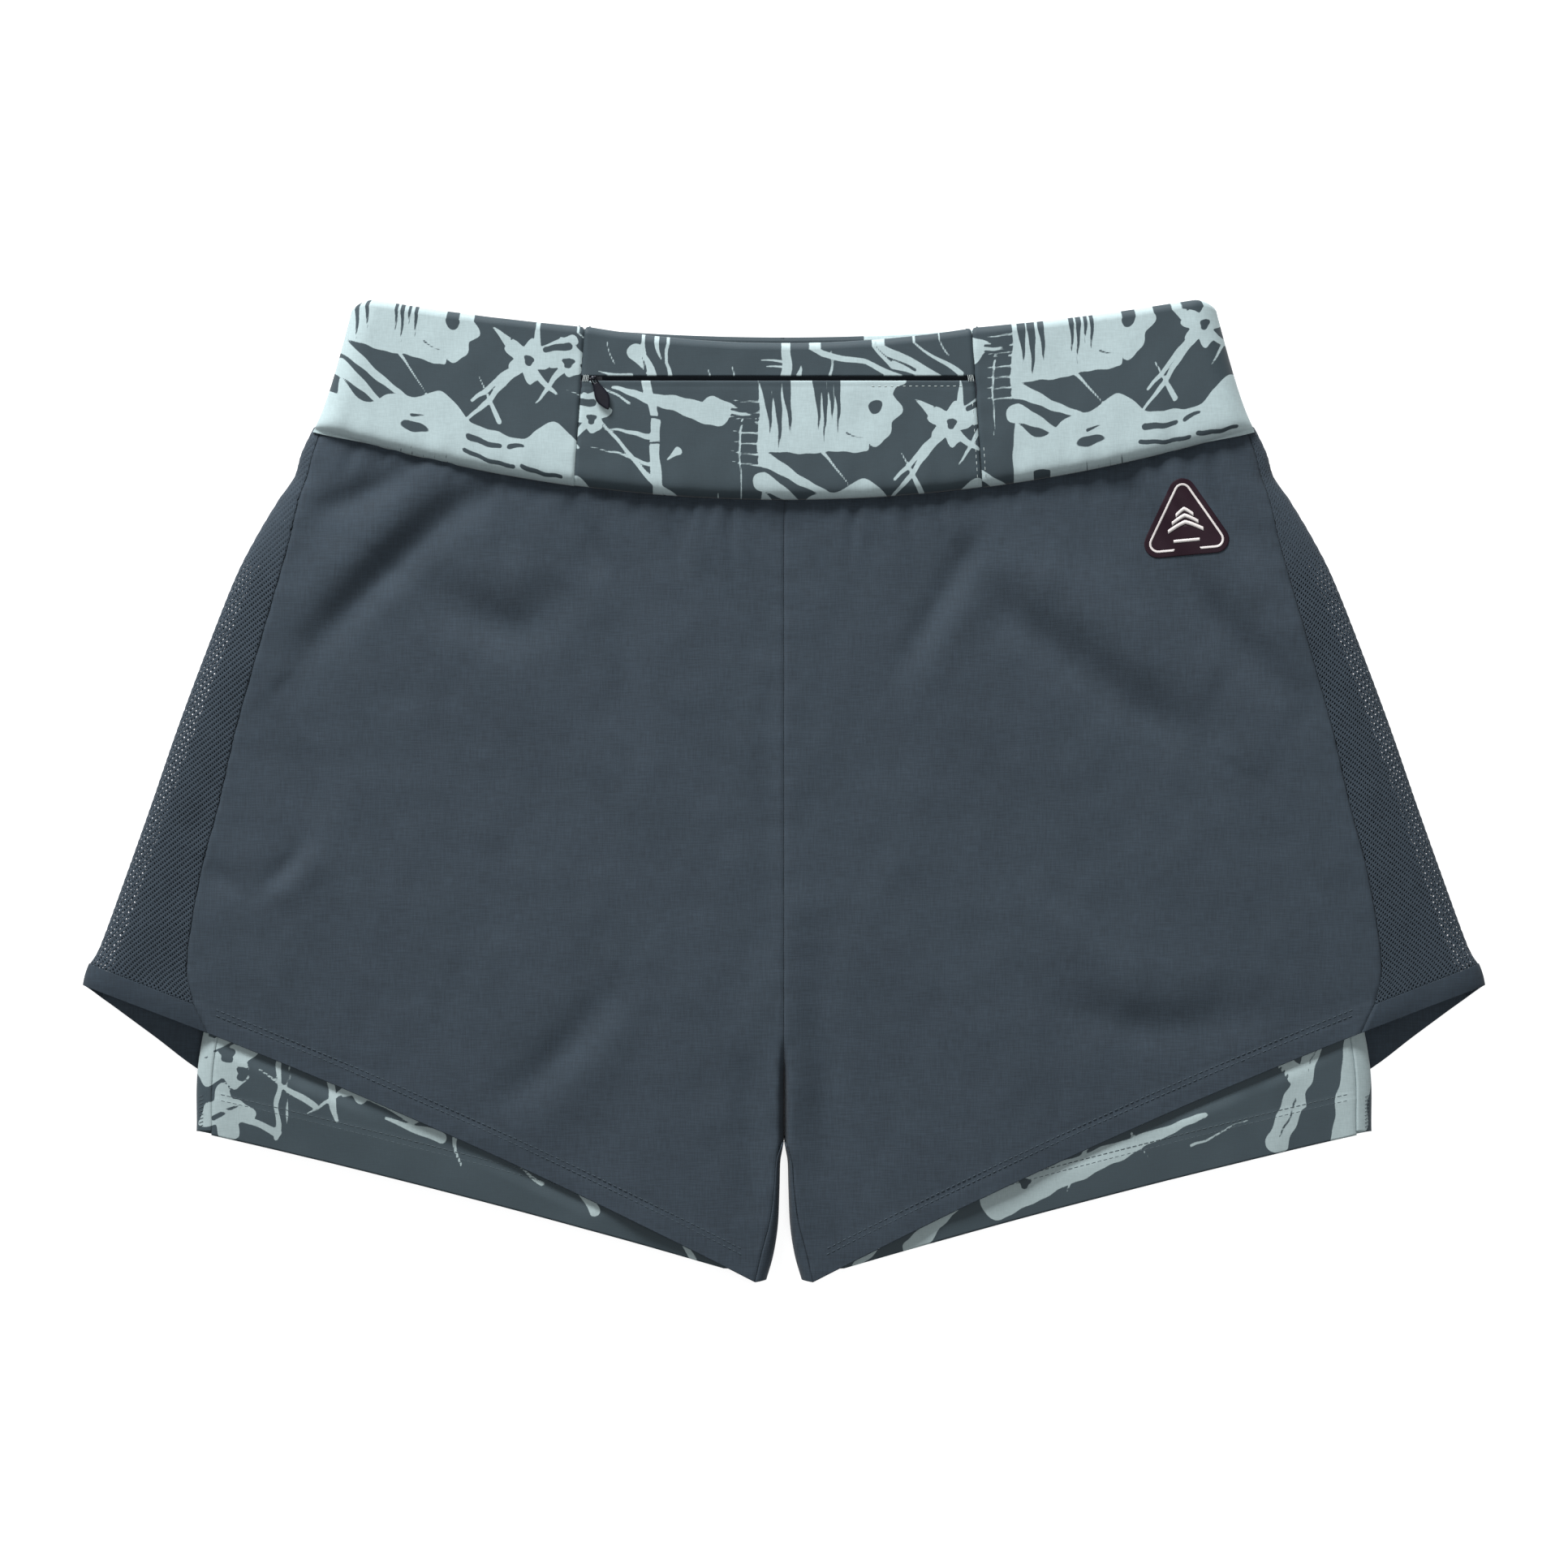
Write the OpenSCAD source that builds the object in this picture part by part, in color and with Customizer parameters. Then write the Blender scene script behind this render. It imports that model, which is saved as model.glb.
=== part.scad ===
// Two-in-one sports shorts, lying flat on their back: a loose woven outer short with mesh
// sides over a printed stretch inner short, both sewn to one wide zip-pocket waistband.
// Frame: +X to the wearer's left, +Y to the waist, +Z up off the table. Millimetres.
// The origin is under the middle of the garment. "left" and "right" are the wearer's.

/* [Waistband] */
// Flat width across the top corners
waist_w = 373; // [364:1:382]
// Flat width at the waist seam
waist_seam_w = 407; // [402:1:410]
// Height of the waist's top edge at the centre front
waist_top_y = 198; // [194:1:202]
// Height of the waist seam at the centre
waist_seam_y = 127; // [125:1:129]
// Thickness of the waistband as it lies
band_h = 20; // [20:0.5:23]

/* [Pocket and zip] */
// Half width of the pocket panel at its top
pocket_top_half = 83.5; // [80:0.5:86]
// Half width of the pocket panel at the waist seam
pocket_seam_half = 88; // [86:0.5:90]
// Sideways offset of the pocket from the centre
pocket_offset = -2.5; // [-4:0.5:4]
// Height of the pocket mouth
mouth_y = 179.2; // [177:0.2:181]
// Opening between the two lips of the mouth
mouth_gap = 2; // [1.8:0.1:2.4]
// Spacing of the zip's teeth
tooth_pitch = 2.5; // [2:0.5:4]

/* [Legs] */
// Flat width across the outer hem corners
hem_w = 605.6; // [600:0.2:610]
// Thickness of the outer short as it lies
leg_h = 14; // [14:0.5:15]
// Height of the crotch
crotch_y = -150; // [-152:1:-148]
// Rise of the front hem's curve above its chord
hem_bow = 5.5; // [3:0.5:7]

/* [Cloth] */
// Thickness of a cloth layer, seam slack included
cloth_t = 0.8; // [0.6:0.1:0.8]

/* [Badge] */
// Distance from the badge's centre to the centres of its rounded corners
badge_r = 14.2; // [10:0.2:15]

/* [Hidden] */

woven = [0.05, 0.068, 0.087];
mesh_cloth = [0.04, 0.055, 0.07];
printed = [0.36, 0.44, 0.45];
lining = [0.075, 0.1, 0.12];
zip_cloth = [0.03, 0.04, 0.05];
zip_metal = [0.25, 0.26, 0.28];
rubber = [0.01, 0.008, 0.016];
maroon = [0.035, 0.01, 0.018];
pale = [0.75, 0.72, 0.68];

fold_steps = 8;                   // facets round each side fold
skin_gap = 0.6;                   // space between the outer and the inner short
waist_half = waist_w / 2;
seam_half = waist_seam_w / 2;
hem_half = hem_w / 2;
top_rise = 17;                    // the top edge is higher at the sides
seam_rise = 31.3;                 // and so is the waist seam
corner_drop = 8;                  // rounding of the waist's top corners
corner_start = 0.95;              // share of the half width where that rounding starts
front_dip = 3.4;                  // the front's centre lies this much below the back's

// --- Heights of the layers -------------------------------------------------------------------
inner_bottom = cloth_t + skin_gap;
inner_top = leg_h - cloth_t - skin_gap;
elastic_t = 1;
facing_t = 0.6;
elastic_bottom = cloth_t + 0.2;
elastic_top = 14.4;
facing_bottom = elastic_bottom + elastic_t + 0.2;
facing_top = elastic_top - elastic_t - 0.2;
bag_t = 0.4;
bag_back_z = elastic_top + 0.2;
tape_t = 0.4;
tape_z = band_h - cloth_t - tape_t - 0.1;
bag_front_z = tape_z - bag_t - 0.6;
tooth_h = 1.4;
tooth_z = tape_z - tooth_h;       // the teeth are sewn to the tapes' undersides
plate_z = tooth_z - 0.9;          // underside of the slider's plate

// --- Outlines --------------------------------------------------------------------------------
function square_of(a) = a * a;
function corner(share) = share > corner_start ? square_of((share - corner_start) / (1 - corner_start)) : 0;
function top_edge(x) = waist_top_y + top_rise * square_of(x / waist_half) - corner_drop * corner(abs(x) / waist_half);
function front_top_edge(x) = top_edge(x) - front_dip * (1 - square_of(min(1, abs(x) / pocket_top_half)));
function seam_edge(x) = waist_seam_y + seam_rise * square_of(x / seam_half);
function mix(a, b, share) = a + (b - a) * share;
function band_side(share) = mix(seam_half, waist_half, share);
function pocket_half(share) = mix(pocket_seam_half, pocket_top_half, share);

// Front hem, from the gusset out to the side, as a chord with a shallow bow
hem_corner = [hem_half, -82.3];
hem_toe = [9, -212.3];
function hem_share(x) = (hem_corner[0] - x) / (hem_corner[0] - hem_toe[0]);
function front_hem(x) = mix(hem_corner[1], hem_toe[1], hem_share(x)) + 4 * hem_bow * hem_share(x) * (1 - hem_share(x));
function inner_hem(x) = -212.3 + 0.2995 * x - 0.0001435 * x * x;

// Rows of the mesh side, from the hem band up to the waist: front seam, fold and back seam
mesh_rows = [
  [[254.6, -90.6], [300.0, -73.0], [293.5, -80.0]], [[257.7, -72.0], [295.5, -65.0], [288.0, -68.0]],
  [[252.0, -35.0], [284.5, -35.0], [277.0, -35.0]], [[244.0, -4.0], [273.5, -4.0], [266.0, -4.0]],
  [[236.7, 28.0], [262.5, 28.0], [255.0, 28.0]], [[228.0, 59.0], [251.0, 59.0], [243.5, 59.0]],
  [[218.5, 92.0], [238.0, 92.0], [230.5, 92.0]], [[213.5, 110.0], [229.0, 110.0], [221.5, 110.0]],
  [[209.8, 126.5], [218.6, 127.4], [211.5, 126.5]], [[206.2, 137.0], [211.8, 137.2], [206.2, 137.0]],
  [[203.6, 147.0], [208.8, 147.3], [203.6, 147.0]], [[200.5, 156.4], [205.2, 157.0], [200.5, 156.4]]];
band_front_hem = [249, front_hem(249)];
band_back_hem = [295.5, -88.0];
side_band_rows = [[band_front_hem, hem_corner, band_back_hem], mesh_rows[0]];
back_hem = [[273, -104.5], [253.7, -119], [230, -132], [200, -144], [160, -158], [110, -174], [60, -190]];

// Rows of the gussets, from the hem up to the crotch, drawn for the wearer's right leg
outer_gusset_rows = [
  [[-16, front_hem(16)], hem_toe - [2 * hem_toe[0], 0], [-16, -206.5]],
  [[-11, -199], [-4.8, -201], [-11, -197]], [[-7.5, -183], [-1.9, -189], [-7.5, -183]],
  [[-5, -167], [-1.3, -169], [-5, -167]], [[-4, crotch_y], [-0.8, crotch_y], [-4, crotch_y]]];
inner_gusset_rows = [
  [[-26, inner_hem(26)], [-17, -205], [-26, inner_hem(26) + 1]], [[-19, -186], [-10, -187], [-19, -186]],
  [[-13.5, -160], [-5.5, -160], [-13.5, -160]], [[-10, -131], [-2.5, -131], [-10, -131]]];
inner_crotch_y = -129;

// Rows of the inner short's side fold, from its hem up to the waist
inner_fold_in = 6.8;              // from the fold to the front side seam
inner_sides = [[254, -144.5], [252.6, -112], [240, -55], [226, 0], [213, 55], [203, 100], [196.5, 128], [194.5, 155]];

// --- Helpers ---------------------------------------------------------------------------------
function at_height(p, z) = [p[0], p[1], z];
function flipped(list) = [for (i = [len(list) - 1:-1:0]) list[i]];
function mirrored(list) = [for (p = list) [-p[0], p[1]]];

// One cross-section of folded cloth: along the upper layer, round the fold, back along the lower.
// `inset` moves the whole section inside the cloth, and gives its inner skin.
function fold_section(front, side, back, z0, z1, inset) =
  let (
    inner_front = front[len(front) - 1],
    reach = norm(side - inner_front),
    radius_z = (z1 - z0) / 2,
    radius_x = min(radius_z, 0.8 * reach),
    inward = (inner_front - side) / reach,
    centre = side + inward * radius_x)
  concat(
    [for (p = front) at_height(p, z1 - inset)],
    [for (i = [0:fold_steps]) let (a = 90 - 180 * i / fold_steps)
      at_height(centre - inward * (radius_x - inset) * cos(a), (z0 + z1) / 2 + (radius_z - inset) * sin(a))],
    [for (p = flipped(back)) at_height(p, z0 + inset)]);

function row_sections(rows, z0, z1, inset) = [for (r = rows) fold_section([r[0]], r[1], [r[2]], z0, z1, inset)];

// A closed shell between an outer and an inner grid of points. Rows run up the garment and
// columns round it; `loop` joins the last column to the first.
module shell(outer, inner, loop = false) {
  rows = len(outer);
  cols = len(outer[0]);
  count = rows * cols;
  last = loop ? cols - 1 : cols - 2;
  function at(i, j) = i * cols + (j % cols);
  skin = [for (i = [0:rows - 2]) for (j = [0:last])
    let (a = at(i, j), b = at(i, j + 1), c = at(i + 1, j + 1), d = at(i + 1, j))
    each [[a, d, c], [a, c, b], [a + count, b + count, c + count], [a + count, c + count, d + count]]];
  ends = [for (j = [0:last])
    let (a = at(0, j), b = at(0, j + 1), c = at(rows - 1, j + 1), d = at(rows - 1, j))
    each [[a, b, b + count], [a, b + count, a + count], [c, d, d + count], [c, d + count, c + count]]];
  seams = loop ? [] : [for (i = [0:rows - 2])
    let (a = at(i, 0), b = at(i + 1, 0), c = at(i, cols - 1), d = at(i + 1, cols - 1))
    each [[a, a + count, b + count], [a, b + count, b], [c, d, d + count], [c, d + count, c + count]]];
  points = concat([for (r = outer) each r], [for (r = inner) each r]);
  polyhedron(points, concat(skin, ends, seams), convexity = 6);
}

module folded_cloth(rows, z0, z1, thick) {
  shell(row_sections(rows, z0, z1, 0), row_sections(rows, z0, z1, thick));
}

module layer(points, z, thick) {
  translate([0, 0, z]) linear_extrude(thick) polygon(points);
}

module mirror_x() {
  mirror([1, 0, 0]) children();
}

// --- Waistband -------------------------------------------------------------------------------
band_rows = [0, 0.5, 1];
band_arm_steps = 8;

// Height at x of a row of the band, `share` of the way from the waist seam to the top edge
function band_y(x, share) = mix(seam_edge(x), top_edge(x), share);

// Section of a side piece: from the pocket's seam round the fold to the centre back
function side_section(seam, share, inset) =
  let (side_x = band_side(share), end_x = side_x - band_h / 2 - 2)
  fold_section(
    [for (k = [0:band_arm_steps]) let (x = mix(seam + pocket_half(share), end_x, k / band_arm_steps)) [x, band_y(x, share)]],
    [side_x, band_y(side_x, share)],
    [for (k = [0:band_arm_steps]) let (x = mix(0, end_x, k / band_arm_steps)) [x, band_y(x, share)]],
    0, band_h, inset);

module waistband_side(seam_shift) {
  color(printed) shell(
    [for (s = band_rows) side_section(seam_shift, s, 0)],
    [for (s = band_rows) side_section(seam_shift, s, cloth_t)]);
}

// A closed ring inside the band, `in` from its sides and `edge` inside its top and bottom edges
function ring_half(share, edge_y, in, z0, z1, inset) =
  let (side_x = band_side(share) - in, end_x = side_x - (z1 - z0) / 2 - 2)
  fold_section(
    [for (k = [1:band_arm_steps]) let (x = mix(0, end_x, k / band_arm_steps)) [x, band_y(x, share) + edge_y]],
    [side_x, band_y(side_x, share) + edge_y],
    [for (k = [1:band_arm_steps]) let (x = mix(0, end_x, k / band_arm_steps)) [x, band_y(x, share) + edge_y]],
    z0, z1, inset);

function ring_section(share, edge_y, in, z0, z1, inset) =
  let (half = ring_half(share, edge_y, in, z0, z1, inset))
  concat(half, [for (p = flipped(half)) [-p[0], p[1], p[2]]]);

module band_ring(edge, in, z0, z1, thick) {
  edges = [edge, 0, -edge];
  shell(
    [for (i = [0:2]) ring_section(band_rows[i], edges[i], in, z0, z1, 0)],
    [for (i = [0:2]) ring_section(band_rows[i], edges[i], in, z0, z1, thick)],
    loop = true);
}

module waist_elastic() {
  color(lining) band_ring(1.5, 3.4, elastic_bottom, elastic_top, elastic_t);
}

module waist_facing() {
  color(lining) band_ring(1, 4.6, facing_bottom, facing_top, facing_t);
}

module care_label() {
  color(pale) translate([-14, 150, facing_bottom + facing_t]) cube([28, 34, 0.3]);
}

// --- Pocket ----------------------------------------------------------------------------------
mouth_share = (mouth_y - waist_seam_y) / (waist_top_y - waist_seam_y);
mouth_half = pocket_half(mouth_share);
panel_steps = 12;

function across(share) = [for (k = [0:panel_steps]) pocket_offset + pocket_half(share) * (2 * k / panel_steps - 1)];

module waistband_upper_front() {
  top = [for (x = across(1)) [x, front_top_edge(x)]];
  y = mouth_y + mouth_gap / 2;
  color(printed) layer(
    concat([[pocket_offset + mouth_half, y], [pocket_offset - mouth_half, y]], top),
    band_h - cloth_t, cloth_t);
}

module waistband_pocket_panel() {
  bottom = [for (x = across(0)) [x, seam_edge(x)]];
  y = mouth_y - mouth_gap / 2;
  color(printed) layer(
    concat(bottom, [[pocket_offset + mouth_half, y], [pocket_offset - mouth_half, y]]),
    band_h - cloth_t, cloth_t);
}

bag_half = mouth_half - 3;
bag_bottom_y = 142;
tape_h = 8;
tooth_in = mouth_gap / 2 - 0.1;   // the teeth start just behind the lips

module pocket_bag(z, top_y) {
  corner_r = 10;
  color(zip_cloth) translate([pocket_offset, 0, z]) linear_extrude(bag_t)
    polygon(concat(
      [[bag_half, top_y], [-bag_half, top_y]],
      [for (i = [0:4]) [-bag_half + corner_r * (1 - cos(90 * i / 4)), bag_bottom_y + corner_r * (1 - sin(90 * i / 4))]],
      [for (i = [4:-1:0]) [bag_half - corner_r * (1 - cos(90 * i / 4)), bag_bottom_y + corner_r * (1 - sin(90 * i / 4))]]));
}

module zip_tape(side) {
  color(zip_cloth)
    translate([pocket_offset, mouth_y + side * (tooth_in + tape_h / 2), tape_z + tape_t / 2])
      cube([2 * mouth_half + 4, tape_h, tape_t], center = true);
}

tooth_l = 1.6;
module zip_teeth(side) {
  count = floor((2 * mouth_half - 4) / tooth_pitch);
  first = pocket_offset - mouth_half + 2 + (side > 0 ? 0 : tooth_pitch / 2);
  color(zip_metal) for (i = [0:count - 1])
    translate([first + i * tooth_pitch, mouth_y + side * (tooth_in + tooth_l / 2), tooth_z + tooth_h / 2])
      cube([0.9, tooth_l, tooth_h], center = true);
}

module zip_stops() {
  color(zip_metal) for (side = [-1, 1])
    translate([pocket_offset + side * (mouth_half + 1.4), mouth_y, tooth_z + tooth_h / 2])
      cube([1.2, 2 * (tooth_in + tooth_l), tooth_h], center = true);
}

// --- Slider and puller -----------------------------------------------------------------------
slider_x = pocket_offset - mouth_half + 5;
pivot_z = band_h + 1.4;
puller_turn = -64;                // the puller's direction about +Z
pin_r = 0.55;
eye_bore_r = 0.62;
eye_r = 1.1;
eye_w = 1.2;
arm_gap = 0.75;                   // from the middle plane to each arm of the fork
arm_w = 0.7;
plate_t = 0.7;

module at_pivot() {
  translate([slider_x, mouth_y, pivot_z]) rotate([0, 0, puller_turn]) children();
}

module zip_slider() {
  plate_w = 2 * (tooth_in + tooth_l) + 1.8;
  color(zip_metal) {
    translate([slider_x - 4, mouth_y - plate_w / 2, plate_z]) cube([8, plate_w, plate_t]);
    for (side = [-1, 1])
      translate([slider_x - 4, mouth_y + side * (plate_w / 2 - 0.3) - 0.3, plate_z]) cube([8, 0.6, 1.6]);
    translate([slider_x, mouth_y, plate_z + plate_t / 2])
      cylinder(h = pivot_z - eye_bore_r - 0.2 - plate_z - plate_t / 2, r = 0.5, $fn = 32);
    at_pivot() rotate([90, 0, 0]) difference() {
      cylinder(h = eye_w, r = eye_r, center = true, $fn = 48);
      cylinder(h = eye_w + 1, r = eye_bore_r, center = true, $fn = 48);
    }
  }
}

module zip_puller() {
  drop_t = 1.5;
  neck = 2.6;                     // where the drop starts, past the eye
  color(rubber) at_pivot() {
    rotate([90, 0, 0]) cylinder(h = 2 * (arm_gap + arm_w), r = pin_r, center = true, $fn = 48);
    for (side = [-1, 1]) translate([0, side * (arm_gap + arm_w / 2), 0]) {
      translate([neck / 2, 0, 0]) cube([neck, arm_w, 1.5], center = true);
      rotate([90, 0, 0]) cylinder(h = arm_w, r = 0.75, center = true, $fn = 32);
    }
    translate([0, 0, -drop_t / 2]) linear_extrude(drop_t) hull() {
      translate([neck, 0]) square([0.4, 2 * (arm_gap + arm_w)], center = true);
      translate([9.6, 0]) circle(r = 3, $fn = 32);
      translate([14.6, 0]) circle(r = 0.5, $fn = 16);
    }
  }
}

// --- Outer short -----------------------------------------------------------------------------
outline_steps = 12;
mesh_front = [for (r = flipped(mesh_rows)) r[0]];
mesh_back = [for (r = flipped(mesh_rows)) r[2]];
waist_x = mesh_rows[len(mesh_rows) - 1][0][0];
function seam_line(end_x) = [for (k = [0:outline_steps]) let (x = end_x * k / outline_steps) [x, seam_edge(x) - 0.4]];
function hem_line(x0, x1) = [for (k = [1:outline_steps - 1]) let (x = mix(x0, x1, k / outline_steps)) [x, front_hem(x)]];

module outer_front_left() {
  gusset_front = [for (r = outer_gusset_rows) r[0]];
  color(woven) layer(
    concat(seam_line(waist_x - 1), mesh_front, [band_front_hem], hem_line(band_front_hem[0], 16),
      mirrored(gusset_front), [[0, crotch_y]]),
    leg_h - cloth_t, cloth_t);
}

module outer_back_left() {
  gusset_back = [for (r = outer_gusset_rows) r[2]];
  color(woven) layer(
    concat(seam_line(waist_x - 1), mesh_back, [band_back_hem], back_hem,
      mirrored(gusset_back), [[0, crotch_y]]),
    0, cloth_t);
}

module mesh_side_left() {
  color(mesh_cloth) folded_cloth(mesh_rows, 0, leg_h, cloth_t);
}

module side_hem_band_left() {
  color(woven) folded_cloth(side_band_rows, 0, leg_h, cloth_t);
}

module outer_gusset_right() {
  color(woven) folded_cloth(outer_gusset_rows, 0, leg_h, cloth_t);
}

// --- Inner short -----------------------------------------------------------------------------
inner_seams = [for (p = inner_sides) p - [inner_fold_in, 0]];
inner_waist_x = inner_seams[len(inner_seams) - 1][0];
function inner_seam_line(end_x) = [for (k = [0:outline_steps]) let (x = end_x * k / outline_steps) [x, seam_edge(x) - 1.5]];

module inner_front_left() {
  side_x = inner_seams[0][0];
  gusset = [for (r = inner_gusset_rows) r[0]];
  color(printed) layer(
    concat(inner_seam_line(inner_waist_x - 1), flipped(inner_seams),
      [for (k = [1:outline_steps - 1]) let (x = mix(side_x, 26, k / outline_steps)) [x, inner_hem(x)]],
      mirrored(gusset), [[0, inner_crotch_y]]),
    inner_top - cloth_t, cloth_t);
}

// The back and the side fold are one piece, joined where the cloth starts to turn up
module inner_back_left() {
  gusset = [for (r = inner_gusset_rows) r[2]];
  flat_seams = [for (p = inner_sides) p - [8, 0]];
  color(printed) {
    layer(
      concat(inner_seam_line(flat_seams[len(flat_seams) - 1][0] - 1), flipped(flat_seams),
        [for (k = [1:outline_steps - 1]) let (x = mix(flat_seams[0][0], 26, k / outline_steps)) [x, inner_hem(x) + 1]],
        mirrored(gusset), [[0, inner_crotch_y]]),
      inner_bottom, cloth_t);
    folded_cloth([for (i = [0:len(inner_sides) - 1]) [inner_seams[i], inner_sides[i], flat_seams[i]]],
      inner_bottom, inner_top, cloth_t);
  }
}

module inner_gusset_right() {
  color(printed) folded_cloth(inner_gusset_rows, inner_bottom, inner_top, cloth_t);
}

// --- Badge -----------------------------------------------------------------------------------
badge_at = [173, 116.2];
badge_tilt = 5;
badge_t = 0.4;
print_t = 0.2;
badge_corner_r = 6;

module badge_triangle(corner_r) {
  hull() for (a = [90, 210, 330]) rotate(a) translate([badge_r, 0]) circle(r = corner_r, $fn = 32);
}

module on_badge(z) {
  translate([badge_at[0], badge_at[1], z]) rotate(badge_tilt) children();
}

module badge_patch() {
  color(maroon) on_badge(leg_h) linear_extrude(badge_t) badge_triangle(badge_corner_r);
}

// A line round the badge, and a plain three-bar chevron in the middle
module badge_print() {
  line_w = 0.7;
  color(pale) on_badge(leg_h + badge_t) linear_extrude(print_t) {
    difference() {
      badge_triangle(badge_corner_r - 2.2);
      badge_triangle(badge_corner_r - 2.2 - line_w);
      translate([-5, -badge_r]) square([10, 4]);
    }
    for (i = [0:2]) translate([0, -3.2 + 3 * i]) polygon([
      [-6 + 1.6 * i, -2.2], [0, 1.4 - 0.4 * i], [6 - 1.6 * i, -2.2], [6 - 1.6 * i, -0.9],
      [0, 2.7 - 0.4 * i], [-6 + 1.6 * i, -0.9]]);
    translate([-3.6, -9.6]) square([7.2, 1.4]);
  }
}

// --- The garment -----------------------------------------------------------------------------
waistband_upper_front();
waistband_pocket_panel();
waistband_side(pocket_offset);  // waistband_side_left
mirror_x() waistband_side(-pocket_offset);  // waistband_side_right
waist_elastic();
waist_facing();
care_label();
pocket_bag(bag_front_z, mouth_y - 8);  // pocket_bag_front
pocket_bag(bag_back_z, mouth_y + 8);  // pocket_bag_back
zip_tape(1);  // zip_tape_upper
zip_tape(-1);  // zip_tape_lower
zip_teeth(1);  // zip_teeth_upper
zip_teeth(-1);  // zip_teeth_lower
zip_stops();
zip_slider();
zip_puller();
outer_front_left();
mirror_x() outer_front_left();  // outer_front_right
outer_back_left();
mirror_x() outer_back_left();  // outer_back_right
mesh_side_left();
mirror_x() mesh_side_left();  // mesh_side_right
side_hem_band_left();
mirror_x() side_hem_band_left();  // side_hem_band_right
mirror_x() outer_gusset_right();  // outer_gusset_left
outer_gusset_right();
inner_front_left();
mirror_x() inner_front_left();  // inner_front_right
inner_back_left();
mirror_x() inner_back_left();  // inner_back_right
mirror_x() inner_gusset_right();  // inner_gusset_left
inner_gusset_right();
badge_patch();
badge_print();
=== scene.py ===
"""Two-in-one sports shorts, lying flat on their back: the cloth, stitching and finishes.

Every length here is in millimetres, and MM turns it into Blender's metres where a mesh is made.
+X is the wearer's left, +Y the waist, +Z up. "left" and "right" are the wearer's.
A cloth piece is a grid of points on its outer face, and a second skin inside it.
"""

import math
import random

import bpy
import numpy as np
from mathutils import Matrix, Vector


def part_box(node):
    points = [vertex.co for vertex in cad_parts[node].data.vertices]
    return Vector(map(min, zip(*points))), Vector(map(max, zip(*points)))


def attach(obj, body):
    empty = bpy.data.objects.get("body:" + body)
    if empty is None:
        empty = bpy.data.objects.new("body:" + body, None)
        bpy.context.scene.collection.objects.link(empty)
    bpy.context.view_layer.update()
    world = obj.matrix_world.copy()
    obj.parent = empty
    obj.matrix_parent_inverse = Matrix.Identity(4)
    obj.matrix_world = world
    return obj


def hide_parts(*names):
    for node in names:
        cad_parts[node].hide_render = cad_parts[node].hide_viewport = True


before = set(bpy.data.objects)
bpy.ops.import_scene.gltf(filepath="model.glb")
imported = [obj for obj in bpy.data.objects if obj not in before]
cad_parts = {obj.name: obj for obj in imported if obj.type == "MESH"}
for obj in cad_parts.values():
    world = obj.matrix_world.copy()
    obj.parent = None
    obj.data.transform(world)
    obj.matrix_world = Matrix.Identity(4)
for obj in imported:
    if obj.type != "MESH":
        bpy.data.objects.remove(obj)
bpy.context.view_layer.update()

MM = 0.001
GARMENT = "garment"


# --- Sizes from the frame ---------------------------------------------------------------------
def low(node, axis):
    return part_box(node)[0][axis] / MM


def high(node, axis):
    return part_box(node)[1][axis] / MM


def span(node, axis):
    """Both ends of a CAD node along an axis."""
    return low(node, axis), high(node, axis)


LEG_H = high("outer_front_left", 2)
BAND_H = high("waistband_side_left", 2)
INNER_LOW = low("inner_back_left", 2)
INNER_HIGH = high("inner_front_left", 2)
HEM_HALF = high("side_hem_band_left", 0)
HEM_TOE_Y = low("outer_gusset_left", 1)
SEAM_HALF = high("waistband_side_left", 0)
PIVOT_X, MOUTH_Y = (sum(span("zip_slider", axis)) / 2 for axis in (0, 1))
PIVOT_Z = sum(span("zip_puller", 2)) / 2
MOUTH_GAP = low("waistband_upper_front", 1) - high("waistband_pocket_panel", 1)

# --- Outlines, as the garment was drafted -----------------------------------------------------
WAIST_HALF = 186.5
WAIST_TOP_Y = 198
WAIST_SEAM_Y = 127
TOP_RISE = 17
SEAM_RISE = 31.3
CORNER_DROP = 3.5
CORNER_START = 0.95
FRONT_DIP = 3.4
POCKET_TOP_HALF = 83.5
POCKET_SEAM_HALF = 88
POCKET_OFFSET = -2.5
HEM_CORNER_Y = -82.3
HEM_TOE_X = 9
GUSSET_HEM_X = 12.5
SEAM_TUCK = 1.2  # how far the short goes up under the waistband
HEM_BOW = 5.5
INNER_HEM_SIDE_X = 254
CLOTH_T = 0.55
MIRROR = np.array([-1, 1, 1])
SIDES = (("left", 1), ("right", -1))


def mix(a, b, share):
    return a + (b - a) * share


def top_edge(x):
    share = np.abs(x) / WAIST_HALF
    corner = np.clip((share - CORNER_START) / (1 - CORNER_START), 0, None)
    return WAIST_TOP_Y + TOP_RISE * share**2 - CORNER_DROP * corner**2


def front_top_edge(x):
    return top_edge(x) - FRONT_DIP * (1 - np.clip(np.abs(x) / POCKET_TOP_HALF, 0, 1) ** 2)


def seam_edge(x):
    return WAIST_SEAM_Y + SEAM_RISE * (x / SEAM_HALF) ** 2


def band_side(share):
    return mix(SEAM_HALF, WAIST_HALF, share)


def pocket_half(share):
    return mix(POCKET_SEAM_HALF, POCKET_TOP_HALF, share)


def front_hem(x):
    share = (HEM_HALF - np.abs(x)) / (HEM_HALF - HEM_TOE_X)
    return mix(HEM_CORNER_Y, HEM_TOE_Y, share) + 4 * HEM_BOW * share * (1 - share)


def inner_hem(x):
    return HEM_TOE_Y + 0.2995 * np.abs(x) - 0.0001435 * x**2


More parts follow.
